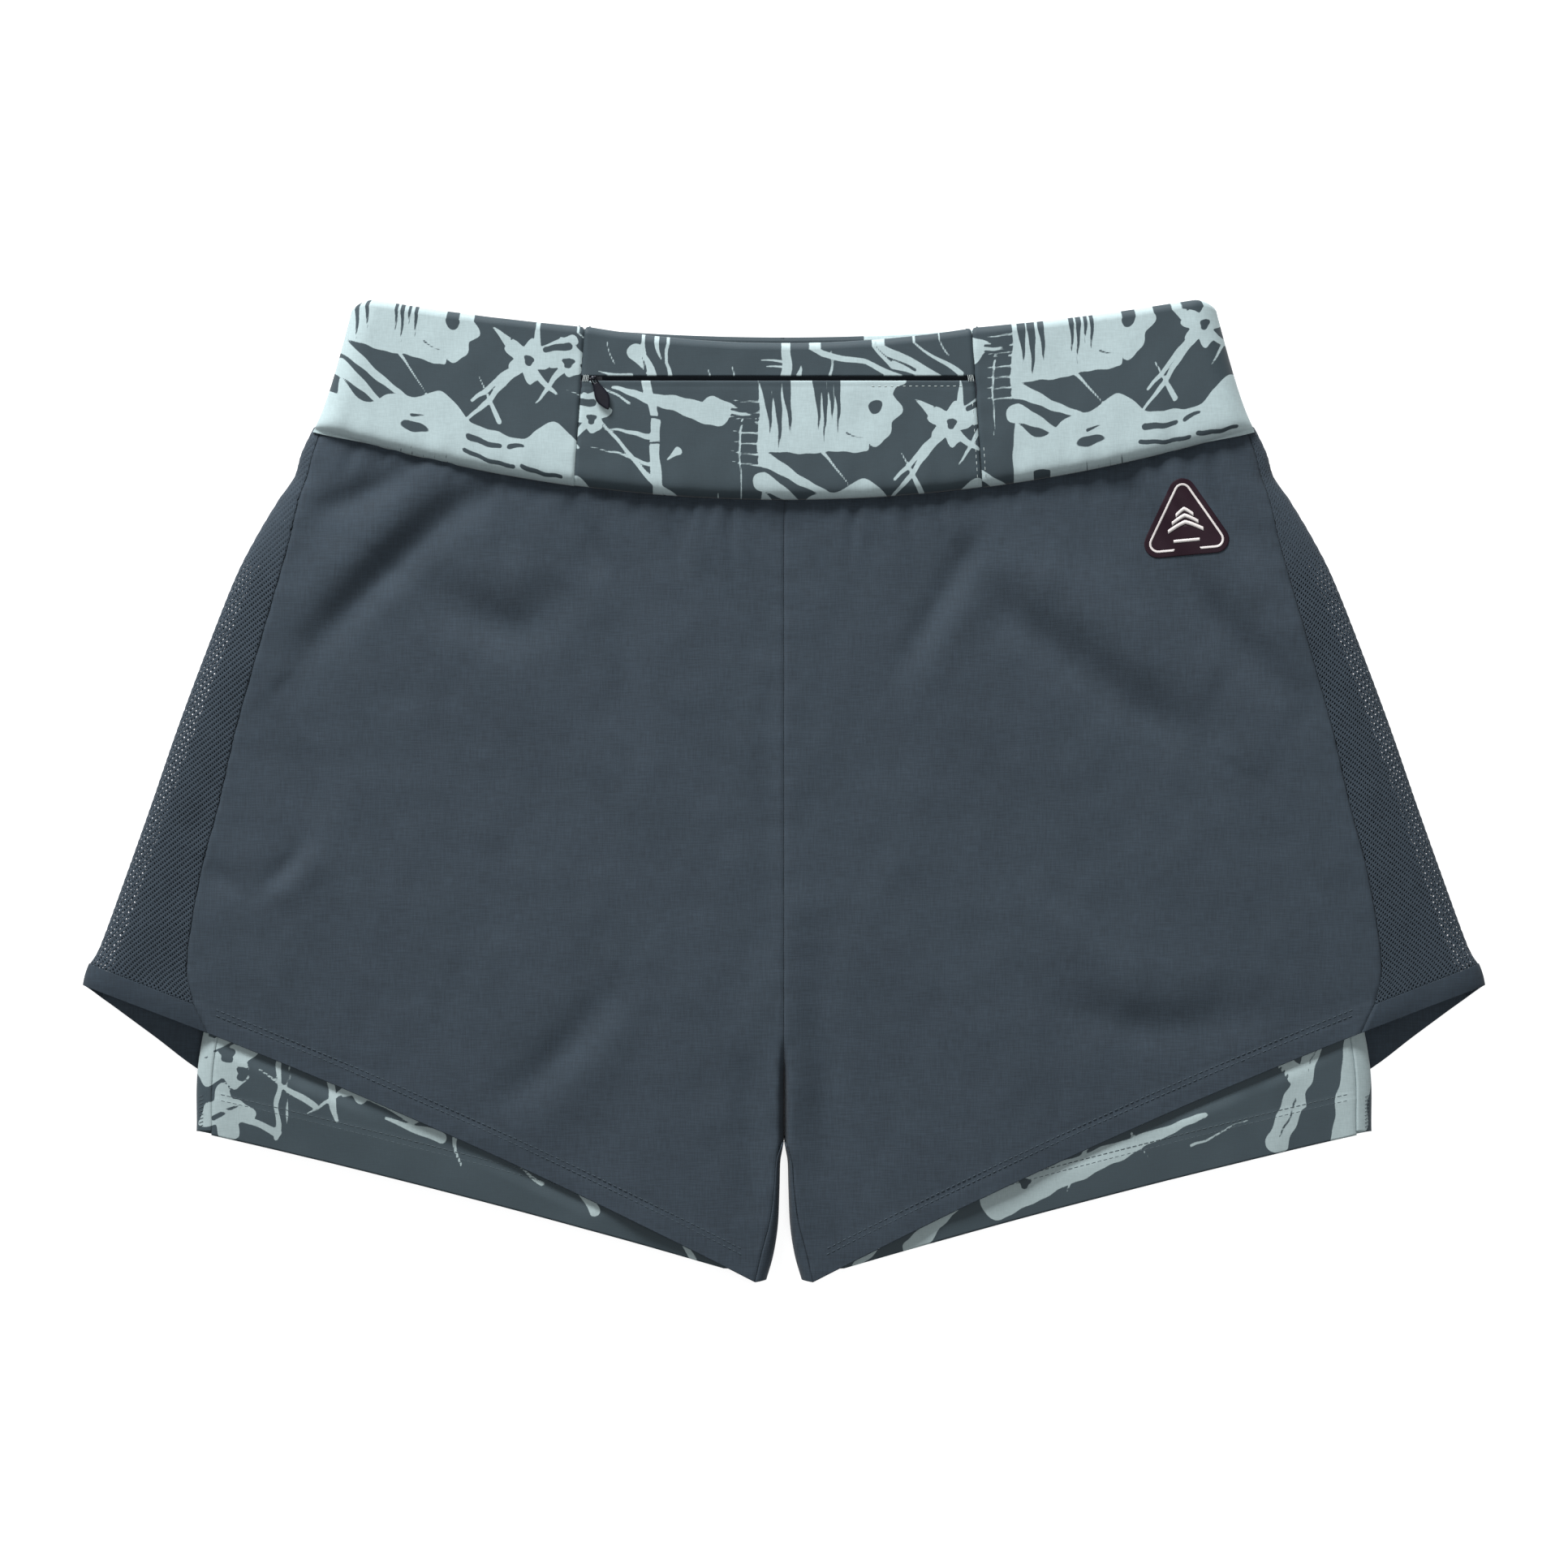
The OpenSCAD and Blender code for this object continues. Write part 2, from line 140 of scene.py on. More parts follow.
MOUTH_SHARE = (MOUTH_Y - WAIST_SEAM_Y) / (WAIST_TOP_Y - WAIST_SEAM_Y)
MOUTH_HALF = pocket_half(MOUTH_SHARE)

# Front seam, fold and back seam of the mesh side, from its hem band up to the waist
MESH_ROWS = [
    ((254.6, -90.6), (300.0, -73.0), (293.5, -80.0)),
    ((257.7, -72.0), (295.5, -65.0), (288.0, -68.0)),
    ((252.0, -35.0), (284.5, -35.0), (277.0, -35.0)),
    ((244.0, -4.0), (273.5, -4.0), (266.0, -4.0)),
    ((236.7, 28.0), (262.5, 28.0), (255.0, 28.0)),
    ((228.0, 59.0), (251.0, 59.0), (243.5, 59.0)),
    ((218.5, 92.0), (238.0, 92.0), (230.5, 92.0)),
    ((213.5, 110.0), (229.0, 110.0), (221.5, 110.0)),
    ((209.8, 126.5), (218.6, 127.4), (211.5, 126.5)),
    ((206.2, 137.0), (211.8, 137.2), (206.2, 137.0)),
    ((203.6, 147.0), (208.8, 147.3), (203.6, 147.0)),
    ((200.5, 156.4), (204.2, 157.0), (200.5, 156.4)),
    ((199.9, 158.6), (202.7, 159.0), (199.9, 158.6)),
]
BAND_FRONT_HEM = (249.0, float(front_hem(249.0)))
BAND_BACK_HEM = (295.5, -88.0)
HEM_CORNER = (HEM_HALF, HEM_CORNER_Y)
BACK_HEM = [
    (273, -104.5), (253.7, -119), (230, -132), (200, -144), (160, -158), (110, -174), (60, -190),
]
GUSSET_ROWS = [
    ((GUSSET_HEM_X, float(front_hem(GUSSET_HEM_X))), (7.6, -209.6), (GUSSET_HEM_X, -207.5)),
    ((9.6, -198), (4.6, -199), (9.6, -197)),
    ((6.0, -184), (2.6, -186), (6.0, -184)),
    ((4.2, -170), (1.9, -170), (4.2, -170)),
    ((3.4, -159), (1.6, -159), (3.4, -159)),
    ((2.0, -154), (0.8, -154), (2.0, -154)),
    ((0.12, -150), (0.05, -150), (0.12, -150)),
]
INNER_GUSSET_ROWS = [
    ((26, float(inner_hem(26.0))), (17, -205), (26, float(inner_hem(26.0)) + 1)),
    ((19, -186), (10, -187), (19, -186)),
    ((13.5, -160), (5.5, -160), (13.5, -160)),
    ((10, -131), (2.5, -131), (10, -131)),
    ((4, -118), (0.6, -120), (4, -118)),
    ((0.12, -104), (0.05, -106), (0.12, -104)),
]
CENTRE = [(0, y) for y in (-144, -130, -100, -50, 40, float(seam_edge(0.0)) + SEAM_TUCK)]
INNER_CENTRE = [(0, y) for y in (-92, -70, -20, 40, 125.3)]
INNER_SIDES = [
    (254, -144.5), (252.6, -112), (240, -55), (226, 0), (213, 55), (203, 100), (196.5, 128), (194.5, 155),
]
INNER_FOLD_IN = 6.8  # from the inner short's fold to its front side seam

# How far in from the fold each layer is still turning down
OUTER_REACH = 20
BAND_REACH = 13
INNER_REACH = 14


class Path:
    """A smooth curve through given points, read by the share of its length."""

    def __init__(self, points, smooth=True):
        p = np.array(points, float)
        if smooth and len(p) > 2:
            p = self.rounded(p)
        self.p = p
        self.s = np.r_[0, np.linalg.norm(np.diff(p, axis=0), axis=1).cumsum()]
        self.length = self.s[-1]

    @staticmethod
    def rounded(p):
        """The Catmull-Rom curve through p."""
        ends = np.vstack([2 * p[0] - p[1], p, 2 * p[-1] - p[-2]])
        t = np.linspace(0, 1, 16, endpoint=False)[:, None]
        made = []
        for a, b, c, d in zip(ends, ends[1:], ends[2:], ends[3:]):
            square, cube = 2 * a - 5 * b + 4 * c - d, 3 * b - a - 3 * c + d
            made.append(0.5 * (2 * b + (c - a) * t + square * t**2 + cube * t**3))
        return np.vstack([*made, p[-1:]])

    def __call__(self, share):
        s = np.clip(np.asarray(share, float), 0, 1) * self.length
        return np.stack([np.interp(s, self.s, self.p[:, k]) for k in range(self.p.shape[1])], -1)


def shares(length, coarse, fine=None, ends="both", easing=0.22):
    """Shares from 0 to 1 with steps of coarse, that shrink to fine towards the chosen ends."""
    at, made = 0.0, [0.0]
    fine = fine or coarse
    while at < length:
        near = {"both": min(at, length - at), "low": at, "high": length - at}[ends]
        at += min(coarse, fine + easing * near)
        made.append(at)
    return np.array(made) / made[-1]


def coons(bottom, top, left, right, us, vs):
    """Points of a patch between four curves: bottom and top run along u, left and right along v."""
    u, v = us[None, :, None], vs[:, None, None]
    b, t, le, r = bottom(us)[None], top(us)[None], left(vs)[:, None], right(vs)[:, None]
    corners = mix(mix(b[:, :1], b[:, -1:], u), mix(t[:, :1], t[:, -1:], u), v)
    return mix(b, t, v) + mix(le, r, u) - corners


def ellipse(d, reach):
    """How far a fold's layer has risen from its middle height, d in from the fold: 0 to 1."""
    return np.sqrt(np.clip(1 - (1 - np.clip(d / reach, 0, 1)) ** 2, 0, 1))


def smooth_step(a, low_end, high_end):
    t = np.clip((a - low_end) / (high_end - low_end), 0, 1)
    return t * t * (3 - 2 * t)


def side_of(rows):
    """x of a fold line as a function of y."""
    p = Path(rows).p
    order = np.argsort(p[:, 1])
    return lambda y: np.interp(y, p[order, 1], p[order, 0])


outer_side = side_of([HEM_CORNER] + [r[1] for r in MESH_ROWS])
inner_side = side_of(INNER_SIDES)


# --- Wrinkles ---------------------------------------------------------------------------------
def ripple(x, y, seed, count, short, long):
    """A soft random surface between about -1 and 1, with waves from short to long."""
    rng = random.Random(seed)
    made = np.zeros_like(x, float)
    for _ in range(count):
        angle, wave, phase = rng.uniform(0, math.pi), rng.uniform(short, long), rng.uniform(0, 2 * math.pi)
        k = 2 * math.pi / wave
        made += np.sin(k * (x * math.cos(angle) + y * math.sin(angle)) + phase)
    return made / math.sqrt(count)


def from_line(x, y, points):
    """Signed distance of each point from a smooth line, and how far along it the nearest point is."""
    path = Path(points)
    p = path(np.linspace(0, 1, 18))
    best, share = np.full(x.shape, 1e9), np.zeros(x.shape)
    sign = np.ones(x.shape)
    for i, (a, b) in enumerate(zip(p, p[1:])):
        d = b - a
        t = np.clip(((x - a[0]) * d[0] + (y - a[1]) * d[1]) / (d @ d), 0, 1)
        dx, dy = x - a[0] - t * d[0], y - a[1] - t * d[1]
        dist = np.hypot(dx, dy)
        near = dist < best
        best = np.where(near, dist, best)
        share = np.where(near, (i + t) / (len(p) - 1), share)
        sign = np.where(near, np.where(d[0] * dy - d[1] * dx >= 0, 1.0, -1.0), sign)
    return best * sign, share


# Folds of the outer short's front: the valley's line, its width, its depth, how high the cloth
# beside it stands, and on which side: 1 is the line's left and -1 its right.
FOLDS = [
    ([(-126, 134), (-152, 115), (-174, 94), (-207, 60)], 5.5, 1.7, 0.9, -1),
    ([(-160, 139), (-178, 131), (-203, 121)], 4.0, 0.8, 0.6, -1),
    ([(-158, 93), (-133, 77), (-111, 73), (-95, 95)], 8.5, 1.5, 0.5, 1),
    ([(-95, 128), (-86, 112), (-78, 92)], 4.0, 0.9, 0.5, 1),
    ([(-76, 118), (-70, 80), (-66, 20)], 6.0, 0.5, 0.5, 1),
    ([(-48, 124), (-45, 104), (-43, 92)], 3.2, 0.6, 0.5, 1),
    ([(88, 120), (76, 98), (50, 54)], 4.5, 0.9, 0.6, 1),
    ([(81, 99), (99, 77), (124, 59), (146, 41), (178, 23)], 7.5, 1.6, 0.9, 1),
    ([(139, 142), (159, 115), (174, 90), (198, 62), (223, 37)], 6.5, 1.4, 0.8, 1),
    ([(180, 148), (190, 124), (203, 100)], 4.5, 0.7, 0.6, 1),
    ([(-206, -19), (-214, -30), (-226, -42)], 3.0, 0.8, 0.7, 1),
    ([(-250, -30), (-240, -38), (-234, -42)], 3.5, 0.5, 0.4, 1),
    ([(-72, -82), (-97, -112), (-126, -137)], 5.5, 1.0, 0.6, 1),
    ([(-200, 22), (-206, -6), (-204, -24)], 8.0, 0.5, 0.5, 1),
    ([(112, -89), (145, -98), (178, -109)], 7.0, 0.8, 0.6, 1),
    ([(142, -100), (180, -98), (214, -93)], 7.0, 0.7, 0.6, 1),
    ([(-16, -110), (-14, -145), (-12, -186)], 5.5, 1.2, 0.6, 1),
    ([(13, -62), (17, -110), (20, -160)], 6.0, 1.1, 0.6, -1),
    ([(112, -48), (126, -62), (130, -74)], 6.0, -0.5, 0.0, 1),
    ([(-6, 60), (-8, 10), (-6, -60)], 4.0, 0.35, 0.5, 1),
]
FOLD_DEPTH = 2.1
FOLD_WIDTH = 1.35


def waist_gathers():
    """Short valleys that run down from the waist seam, spaced and sized at random."""
    rng = random.Random(11)
    made, x = [], -195.0
    while x < 196:
        drop = 7 + 34 * rng.random() ** 2
        lean = 0.35 * drop * x / SEAM_HALF + rng.uniform(-0.2, 0.2) * drop
        y = seam_edge(x)
        points = [(x, y + 1), (x + 0.4 * lean, y - 0.5 * drop), (x + lean, y - drop)]
        made.append((points, rng.uniform(1.6, 3.4), rng.uniform(0.5, 1.3)))
        x += rng.uniform(6, 15)
    return made


GATHERS = waist_gathers()


def bell(d, width):
    """1 where d is zero, falling away smoothly on both sides."""
    return np.exp(-((d / width) ** 2))


def front_wrinkles(x, y):
    made = 0.5 * ripple(x, y, 3, 14, 50, 160) + 0.13 * ripple(x, y, 4, 18, 14, 40)
    for points, width, depth, ridge, lean in FOLDS:
        width = width * FOLD_WIDTH
        d, share = from_line(x, y, points)
        fade = np.sin(np.pi * np.clip(share, 0.02, 0.98)) ** 0.55
        beside = ridge * bell(d - lean * 2.1 * width, 1.6 * width)
        made += FOLD_DEPTH * depth * fade * (beside - bell(d, width))
    for points, width, depth in GATHERS:
        d, share = from_line(x, y, points)
        fade = (1 - share) ** 0.8 * (d * d < (6 * width) ** 2)
        made += depth * fade * (0.45 * bell(np.abs(d) - 2 * width, 1.2 * width) - bell(d, width))
    return made


def seam_dip(d, depth=0.5, width=0.9):
    """Cloth drawn down into a seam that lies d away."""
    return -depth * bell(d, width)


def hem_lift(x, seed):
    """How a free hem waves up and down along its length."""
    return ripple(x, np.zeros_like(x), seed, 7, 38, 130)


def outer_front_z(x, y):
    """Height of the outer short's front face."""
    d = outer_side(y) - np.abs(x)
    rise = ellipse(d, OUTER_REACH)
    above_hem = y - front_hem(x)
    wrinkles = front_wrinkles(x, y) * smooth_step(d, 1, 26)
    at_hem = np.exp(-np.clip(above_hem, 0, None) / 34)
    middle = LEG_H / 2
    z = middle + (LEG_H - middle) * rise + wrinkles * (1 - 0.5 * at_hem)
    z += at_hem * (0.7 * hem_lift(x, 21) - 1.0) * smooth_step(d, 2, 40)
    below_seam = seam_edge(x) - y
    pits = 0.45 + 0.5 * ripple(x, 0 * x, 25, 10, 9, 34)
    return z + seam_dip(below_seam, 0.9, 1.6) - pits * bell(below_seam, 4.5) * smooth_step(d, 2, 12)


def outer_back_z(x, y):
    """Height of the outer short's back face, which lies on the table."""
    d = outer_side(y) - np.abs(x)
    middle = LEG_H / 2
    return middle - middle * ellipse(d, OUTER_REACH)


def inner_front_z(x, y):
    d = inner_side(y) - np.abs(x)
    above_hem = y - inner_hem(x)
    at_hem = np.exp(-np.clip(above_hem, 0, None) / 26)
    middle = (INNER_HIGH + INNER_LOW) / 2
    z = middle + (INNER_HIGH - middle) * ellipse(d, INNER_REACH)
    waves = 0.16 * ripple(x, y, 31, 14, 16, 60) + at_hem * (0.6 * hem_lift(x, 33) - 1.5)
    return z - 0.3 + waves * smooth_step(d, 1, 22)


def inner_back_z(x, y):
    d = inner_side(y) - np.abs(x)
    middle = (INNER_HIGH + INNER_LOW) / 2
    return middle - (middle - INNER_LOW) * ellipse(d, INNER_REACH)


TOP_FOLD, BACK_FOLD = 3.1, 1.05  # radius of the band's rounded top edge, in front and behind


def in_from_band_side(x, y):
    share = np.clip((y - seam_edge(x)) / (top_edge(x) - seam_edge(x)), 0, 1)
    return band_side(share) - np.abs(x)


def band_front_z(x, y):
    """Height of the waistband's front face, which swells up from the waist seam."""
    above = np.clip(y - seam_edge(x), 0, None)
    foot = LEG_H - 0.5
    crown = BAND_H - 0.3 + 0.10 * ripple(x, y, 41, 12, 14, 60)
    crown += 0.3 * np.exp(-above / 14) * ripple(x, 0 * y, 42, 12, 9, 30)
    z = foot + (crown - foot) * (1 - np.exp(-above / 1.9)) ** 0.75
    middle = BAND_H / 2
    return middle + (z - middle) * ellipse(in_from_band_side(x, y), BAND_REACH)


def band_back_z(x, y):
    return BAND_H / 2 * (1 - ellipse(in_from_band_side(x, y), BAND_REACH))


# --- Meshes -----------------------------------------------------------------------------------
def normals(grid):
    """Unit normals of a grid of points whose rows run along v and whose columns run along u."""
    n = np.cross(np.gradient(grid, axis=1), np.gradient(grid, axis=0))
    return n / np.maximum(np.linalg.norm(n, axis=2, keepdims=True), 1e-9)


def new_mesh(name, verts, quads, fields=()):
    """A smooth-shaded mesh from points in millimetres and faces of four corners."""
    mesh = bpy.data.meshes.new(name)
    quads = np.asarray(quads, np.int32)
    mesh.vertices.add(len(verts))
    mesh.vertices.foreach_set("co", (np.asarray(verts, np.float64) * MM).astype(np.float32).ravel())
    mesh.loops.add(quads.size)
    mesh.loops.foreach_set("vertex_index", quads.ravel())
    mesh.polygons.add(len(quads))
    mesh.polygons.foreach_set("loop_start", np.arange(len(quads), dtype=np.int32) * quads.shape[1])
    mesh.polygons.foreach_set("use_smooth", np.ones(len(quads), bool))
    for key, values in dict(fields).items():
        attribute = mesh.attributes.new(key, "FLOAT", "POINT")
        attribute.data.foreach_set("value", np.asarray(values, np.float32).ravel())
    mesh.update(calc_edges=True)
    mesh.validate()
    return mesh


def piece(name, mesh, material, replaces=(), body=GARMENT):
    """Makes mesh a piece that rides on a body and stands for the CAD nodes in replaces."""
    obj = bpy.data.objects.new(name, mesh)
    bpy.context.scene.collection.objects.link(obj)
    obj.data.materials.append(material)
    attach(obj, body)
    if replaces:
        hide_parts(*replaces)
    return obj


def grid_quads(rows, cols, first=0, loop=False, flip=False):
    i, j = np.meshgrid(np.arange(rows - 1), np.arange(cols if loop else cols - 1), indexing="ij")
    a, b = first + i * cols + j, first + i * cols + (j + 1) % cols
    quads = np.stack([a, b, b + cols, a + cols], -1).reshape(-1, 4)
    return quads[:, ::-1] if flip else quads


def two_skins(outer, thick, loop=False):
    """Vertices and faces of a sheet with a second skin thick inside its outer face."""
    rows, cols = outer.shape[:2]
    count = rows * cols
    if loop:
        wrapped = np.concatenate([outer[:, -1:], outer, outer[:, :1]], 1)
        facing = normals(wrapped)[:, 1:-1]
    else:
        facing = normals(outer)
    thick = np.asarray(thick)[..., None] if np.ndim(thick) else thick
    inner = outer - facing * thick
    quads = [grid_quads(rows, cols, 0, loop), grid_quads(rows, cols, count, loop, flip=True)]
    j = np.arange(cols if loop else cols - 1)
    k = (j + 1) % cols
    last = (rows - 1) * cols
    quads.append(np.stack([k, j, j + count, k + count], -1))
    quads.append(np.stack([last + j, last + k, last + k + count, last + j + count], -1))
    if not loop:
        i = np.arange(rows - 1) * cols
        quads.append(np.stack([i, i + cols, i + cols + count, i + count], -1))
        e = i + cols - 1
        quads.append(np.stack([e + cols, e, e + count, e + cols + count], -1))
    return np.vstack([outer.reshape(-1, 3), inner.reshape(-1, 3)]), np.vstack(quads)


def grid_area(grid):
    """Area of a grid of points, in square metres."""
    a, b = np.diff(grid, axis=1)[:-1], np.diff(grid, axis=0)[:, :-1]
    return float(np.linalg.norm(np.cross(a, b), axis=2).sum()) * MM * MM


def cloth(
    name, outer, material, replaces, thick=CLOTH_T, loop=False, field=None
):
    """A piece of cloth from the grid of its outer face."""
    verts, quads = two_skins(outer, thick, loop)
    fields = {} if field is None else {"print_mm": np.tile(np.asarray(field).ravel(), 2)}
    obj = piece(name, new_mesh(name, verts, quads, fields), material, replaces)
    return obj


def for_side(grid, side):
    """The grid for the wearer's left, or its mirror image for the right."""
    if side > 0:
        return grid
    flipped = grid[:, ::-1].copy()
    flipped[..., 0] *= -1
    return flipped


# --- Materials --------------------------------------------------------------------------------
LIGHT = 1.3  # how bright a white card is under the scene's light


def dye(*rgb):
    """The base colour that looks like these 0 to 255 sRGB numbers under the scene's light."""
    c = np.array(rgb) / 255
    return (*np.where(c > 0.04045, ((c + 0.055) / 1.055) ** 2.4, c / 12.92) / LIGHT, 1.0)


SLATE = dye(56, 67, 77)
MESH_SLATE = dye(56, 67, 77)
PRINT_DARK = dye(59, 73, 80)
PRINT_MINT = dye(183, 202, 205)
INNER_DARK = dye(60, 74, 81)
INNER_MINT = dye(169, 186, 188)


class Shader:
    """A material's node tree, with a Principled shader to plug things into."""

    def __init__(self, name):
        self.material = bpy.data.materials.new(name)
        self.material.use_nodes = True
        self.tree = self.material.node_tree
        self.principled = self.tree.nodes["Principled BSDF"]

    def node(self, kind, settings=(), **inputs):
        made = self.tree.nodes.new(kind)
        for key, value in dict(settings).items():
            setattr(made, key, value)
        for key, value in inputs.items():
            self.plug(value, made.inputs[key.replace("_", " ")])
        return made

    def plug(self, value, socket):
        if hasattr(value, "is_output"):
            self.tree.links.new(value, socket)
        else:
            socket.default_value = value

    def place(self, scale, turn=0.0):
        """The point in the garment's frame, turned about Z and then scaled along each axis."""
        at = self.node("ShaderNodeTexCoord").outputs["Object"]
        turned = self.node("ShaderNodeMapping", Vector=at, Rotation=(0, 0, turn))
        return self.node("ShaderNodeMapping", Vector=turned.outputs[0], Scale=scale).outputs[0]

    def noise(self, scale, detail=2.0, turn=0.0, roughness=0.5):
        settings = {"Vector": self.place(scale, turn), "Scale": 1.0, "Detail": detail}
        return self.node("ShaderNodeTexNoise", Roughness=roughness, **settings).outputs["Fac"]

    def math(self, operation, a, b):
        made = self.node("ShaderNodeMath", {"operation": operation})
        self.plug(a, made.inputs[0])
        self.plug(b, made.inputs[1])
        return made.outputs[0]

    def remap(self, value, low_in, high_in, low_out, high_out):
        limits = {"From_Min": low_in, "From_Max": high_in, "To_Min": low_out, "To_Max": high_out}
        return self.node("ShaderNodeMapRange", Value=value, **limits).outputs["Result"]

    def blend(self, share, a, b):
        made = self.node("ShaderNodeMix", {"data_type": "RGBA"})
        for value, index in ((share, 0), (a, 6), (b, 7)):
            self.plug(value, made.inputs[index])
        return made.outputs[2]

    def brightness(self, colour, factor):
        made = self.node("ShaderNodeHueSaturation", Color=colour)
        self.plug(factor, made.inputs["Value"])
        return made.outputs[0]

    def bump(self, height, distance, strength=1.0):
        return self.node("ShaderNodeBump", Height=height, Distance=distance, Strength=strength).outputs[0]

    def set(self, **values):
        for key, value in values.items():
            self.plug(value, self.principled.inputs[key.replace("_", " ")])
        return self.material


def threads(shader, across, along, turn=0.0):
    """Two crossing sets of threads, as two uneven heights: threads across mm wide and along mm long."""
    thin, long_run = 1 / (across * MM), 1 / (along * MM)
    warp = shader.noise((thin, long_run, long_run), 2.0, turn)
    weft = shader.noise((long_run, thin, long_run), 2.0, turn)
    return warp, weft


def woven_material(name, colour, across=0.5, along=7.0, strength=1.0, sheen=0.05):
    """Plain-weave cloth with slightly uneven threads."""
    s = Shader(name)
    warp, weft = threads(s, across, along)
    both = s.math("ADD", warp, weft)
    slub_warp, slub_weft = threads(s, across * 2.2, along * 4)
    slub = s.math("ADD", slub_warp, slub_weft)
    blotch = s.noise((62, 62, 62), 4.0, 0.0, 0.62)
    tone = s.remap(both, 0.72, 1.28, 1 - 0.2 * strength, 1 + 0.2 * strength)
    tone = s.math("MULTIPLY", tone, s.remap(slub, 0.75, 1.25, 0.97, 1.035))
    tone = s.math("MULTIPLY", tone, s.remap(blotch, 0.3, 0.7, 0.94, 1.06))
    height = s.math("MULTIPLY", both, 0.5)
    return s.set(
        Base_Color=s.brightness(colour, tone),
        Roughness=s.remap(both, 0.7, 1.3, 0.78, 0.92),
        Normal=s.bump(height, 0.16 * MM, 0.6),
        Sheen_Weight=sheen,
        Sheen_Roughness=0.5,
        Specular_IOR_Level=0.25,
    )


def print_material(name, dark, light):
    """Stretch knit with a two-tone print: mint where the piece's print_mm is above zero."""
    s = Shader(name)
    edge = s.node("ShaderNodeAttribute", {"attribute_name": "print_mm"}).outputs["Fac"]
    rough_edge = s.math("ADD", edge, s.remap(s.noise((900, 900, 900), 2.0), 0.0, 1.0, -0.12, 0.12))
    share = s.remap(rough_edge, -0.14, 0.14, 0.0, 1.0)
    warp, weft = threads(s, 0.42, 3.5)
    both = s.math("ADD", warp, weft)
    blotch = s.noise((28, 28, 28), 3.0)
    colour = s.blend(share, dark, light)
    tone = s.math("MULTIPLY", s.remap(both, 0.72, 1.28, 0.93, 1.07), s.remap(blotch, 0.3, 0.7, 0.965, 1.03))
    return s.set(
        Base_Color=s.brightness(colour, tone),
        Roughness=s.remap(both, 0.7, 1.3, 0.6, 0.72),
        Normal=s.bump(s.math("MULTIPLY", both, 0.5), 0.1 * MM, 0.45),
        Sheen_Weight=0.1,
        Sheen_Roughness=0.4,
        Specular_IOR_Level=0.3,
    )


def plain_material(name, colour, roughness, metallic=0.0, grain=0.25, gloss=0.5):
    """Moulded, cast or coated material, with a fine grain in its gloss and tone."""
    s = Shader(name)
    fine = s.noise((1600, 1600, 1600), 4.0)
    coarse = s.noise((180, 180, 180), 3.0)
    return s.set(
        Base_Color=s.brightness(colour, s.remap(coarse, 0.3, 0.7, 0.9, 1.1)),
        Roughness=s.remap(fine, 0.3, 0.7, roughness - 0.08, roughness + 0.08),
        Normal=s.bump(fine, 0.03 * MM, grain),
        Metallic=metallic,
        Specular_IOR_Level=gloss,
    )


WOVEN = woven_material("woven_slate", SLATE)
HEM_CLOTH = woven_material("hem_slate", dye(47, 58, 68))
MESH_YARN = woven_material("mesh_yarn", MESH_SLATE, 0.3, 1.2, 1.2)
PRINT = print_material("band_print", PRINT_DARK, PRINT_MINT)
INNER_PRINT = print_material("inner_print", INNER_DARK, INNER_MINT)
POCKETING = woven_material("pocketing", dye(42, 50, 58), 0.4, 4.0)
ELASTIC = woven_material("elastic_knit", dye(48, 56, 64), 0.9, 5.0)
TAPE = woven_material("zip_tape", dye(34, 40, 48), 0.4, 3.0)
THREAD = woven_material("sewing_thread", dye(68, 80, 89), 0.15, 0.6)
INNER_THREAD = woven_material("inner_thread", dye(80, 92, 98), 0.15, 0.6)
PALE_THREAD = woven_material("pale_thread", dye(196, 208, 208), 0.15, 0.6)
TEETH = plain_material("coil_nylon", dye(26, 30, 38), 0.42)
SLIDER_PAINT = plain_material("slider_paint", dye(36, 40, 48), 0.42, 0.4)
RUBBER = plain_material("pull_rubber", dye(13, 14, 28), 0.5, 0.0, 0.3, 0.25)
MAROON = plain_material("badge_film", dye(39, 19, 31), 0.62, 0.0, 0.2, 0.18)
BADGE_WHITE = plain_material("badge_ink", dye(232, 226, 224), 0.5, 0.0, 0.2)
LABEL = woven_material("label_satin", dye(228, 228, 226), 0.25, 2.0, 0.4)


# --- The print --------------------------------------------------------------------------------
# Shapes are signed distances in millimetres, negative inside. Only generic brush marks are used:
# blocks, tapered strokes, blots, ovals and a comb.
def stroke(x, y, x0, y0, x1, y1, w0, w1):
    """A stroke from (x0, y0) to (x1, y1), w0 wide at its start and w1 at its end."""
    dx, dy = x1 - x0, y1 - y0
    t = np.clip(((x - x0) * dx + (y - y0) * dy) / (dx * dx + dy * dy), 0, 1)
    return np.hypot(x - x0 - t * dx, y - y0 - t * dy) - mix(w0, w1, t) / 2


def block(x, y, x0, y0, x1, y1, round_by=0.6):
    dx = np.abs(x - (x0 + x1) / 2) - (x1 - x0) / 2 + round_by
    dy = np.abs(y - (y0 + y1) / 2) - (y1 - y0) / 2 + round_by
    outside = np.hypot(np.maximum(dx, 0), np.maximum(dy, 0))
    return outside + np.minimum(np.maximum(dx, dy), 0) - round_by


def blot(x, y, cx, cy, r, lobes, depth, phase=0.0, squash=1.0):
    """A round blot with wavy lobes."""
    dx, dy = x - cx, (y - cy) / squash
    angle = np.arctan2(dy, dx)
    finer = np.sin((2 * lobes - 1) * angle + 2 * phase)
    edge = r * (1 + depth * np.sin(lobes * angle + phase) + 0.5 * depth * finer)
    return (np.hypot(dx, dy) - edge) * min(1.0, squash)


def joined(*parts):
    return np.minimum.reduce(parts)


def cut(base, taken):
    return np.maximum(base, -taken)


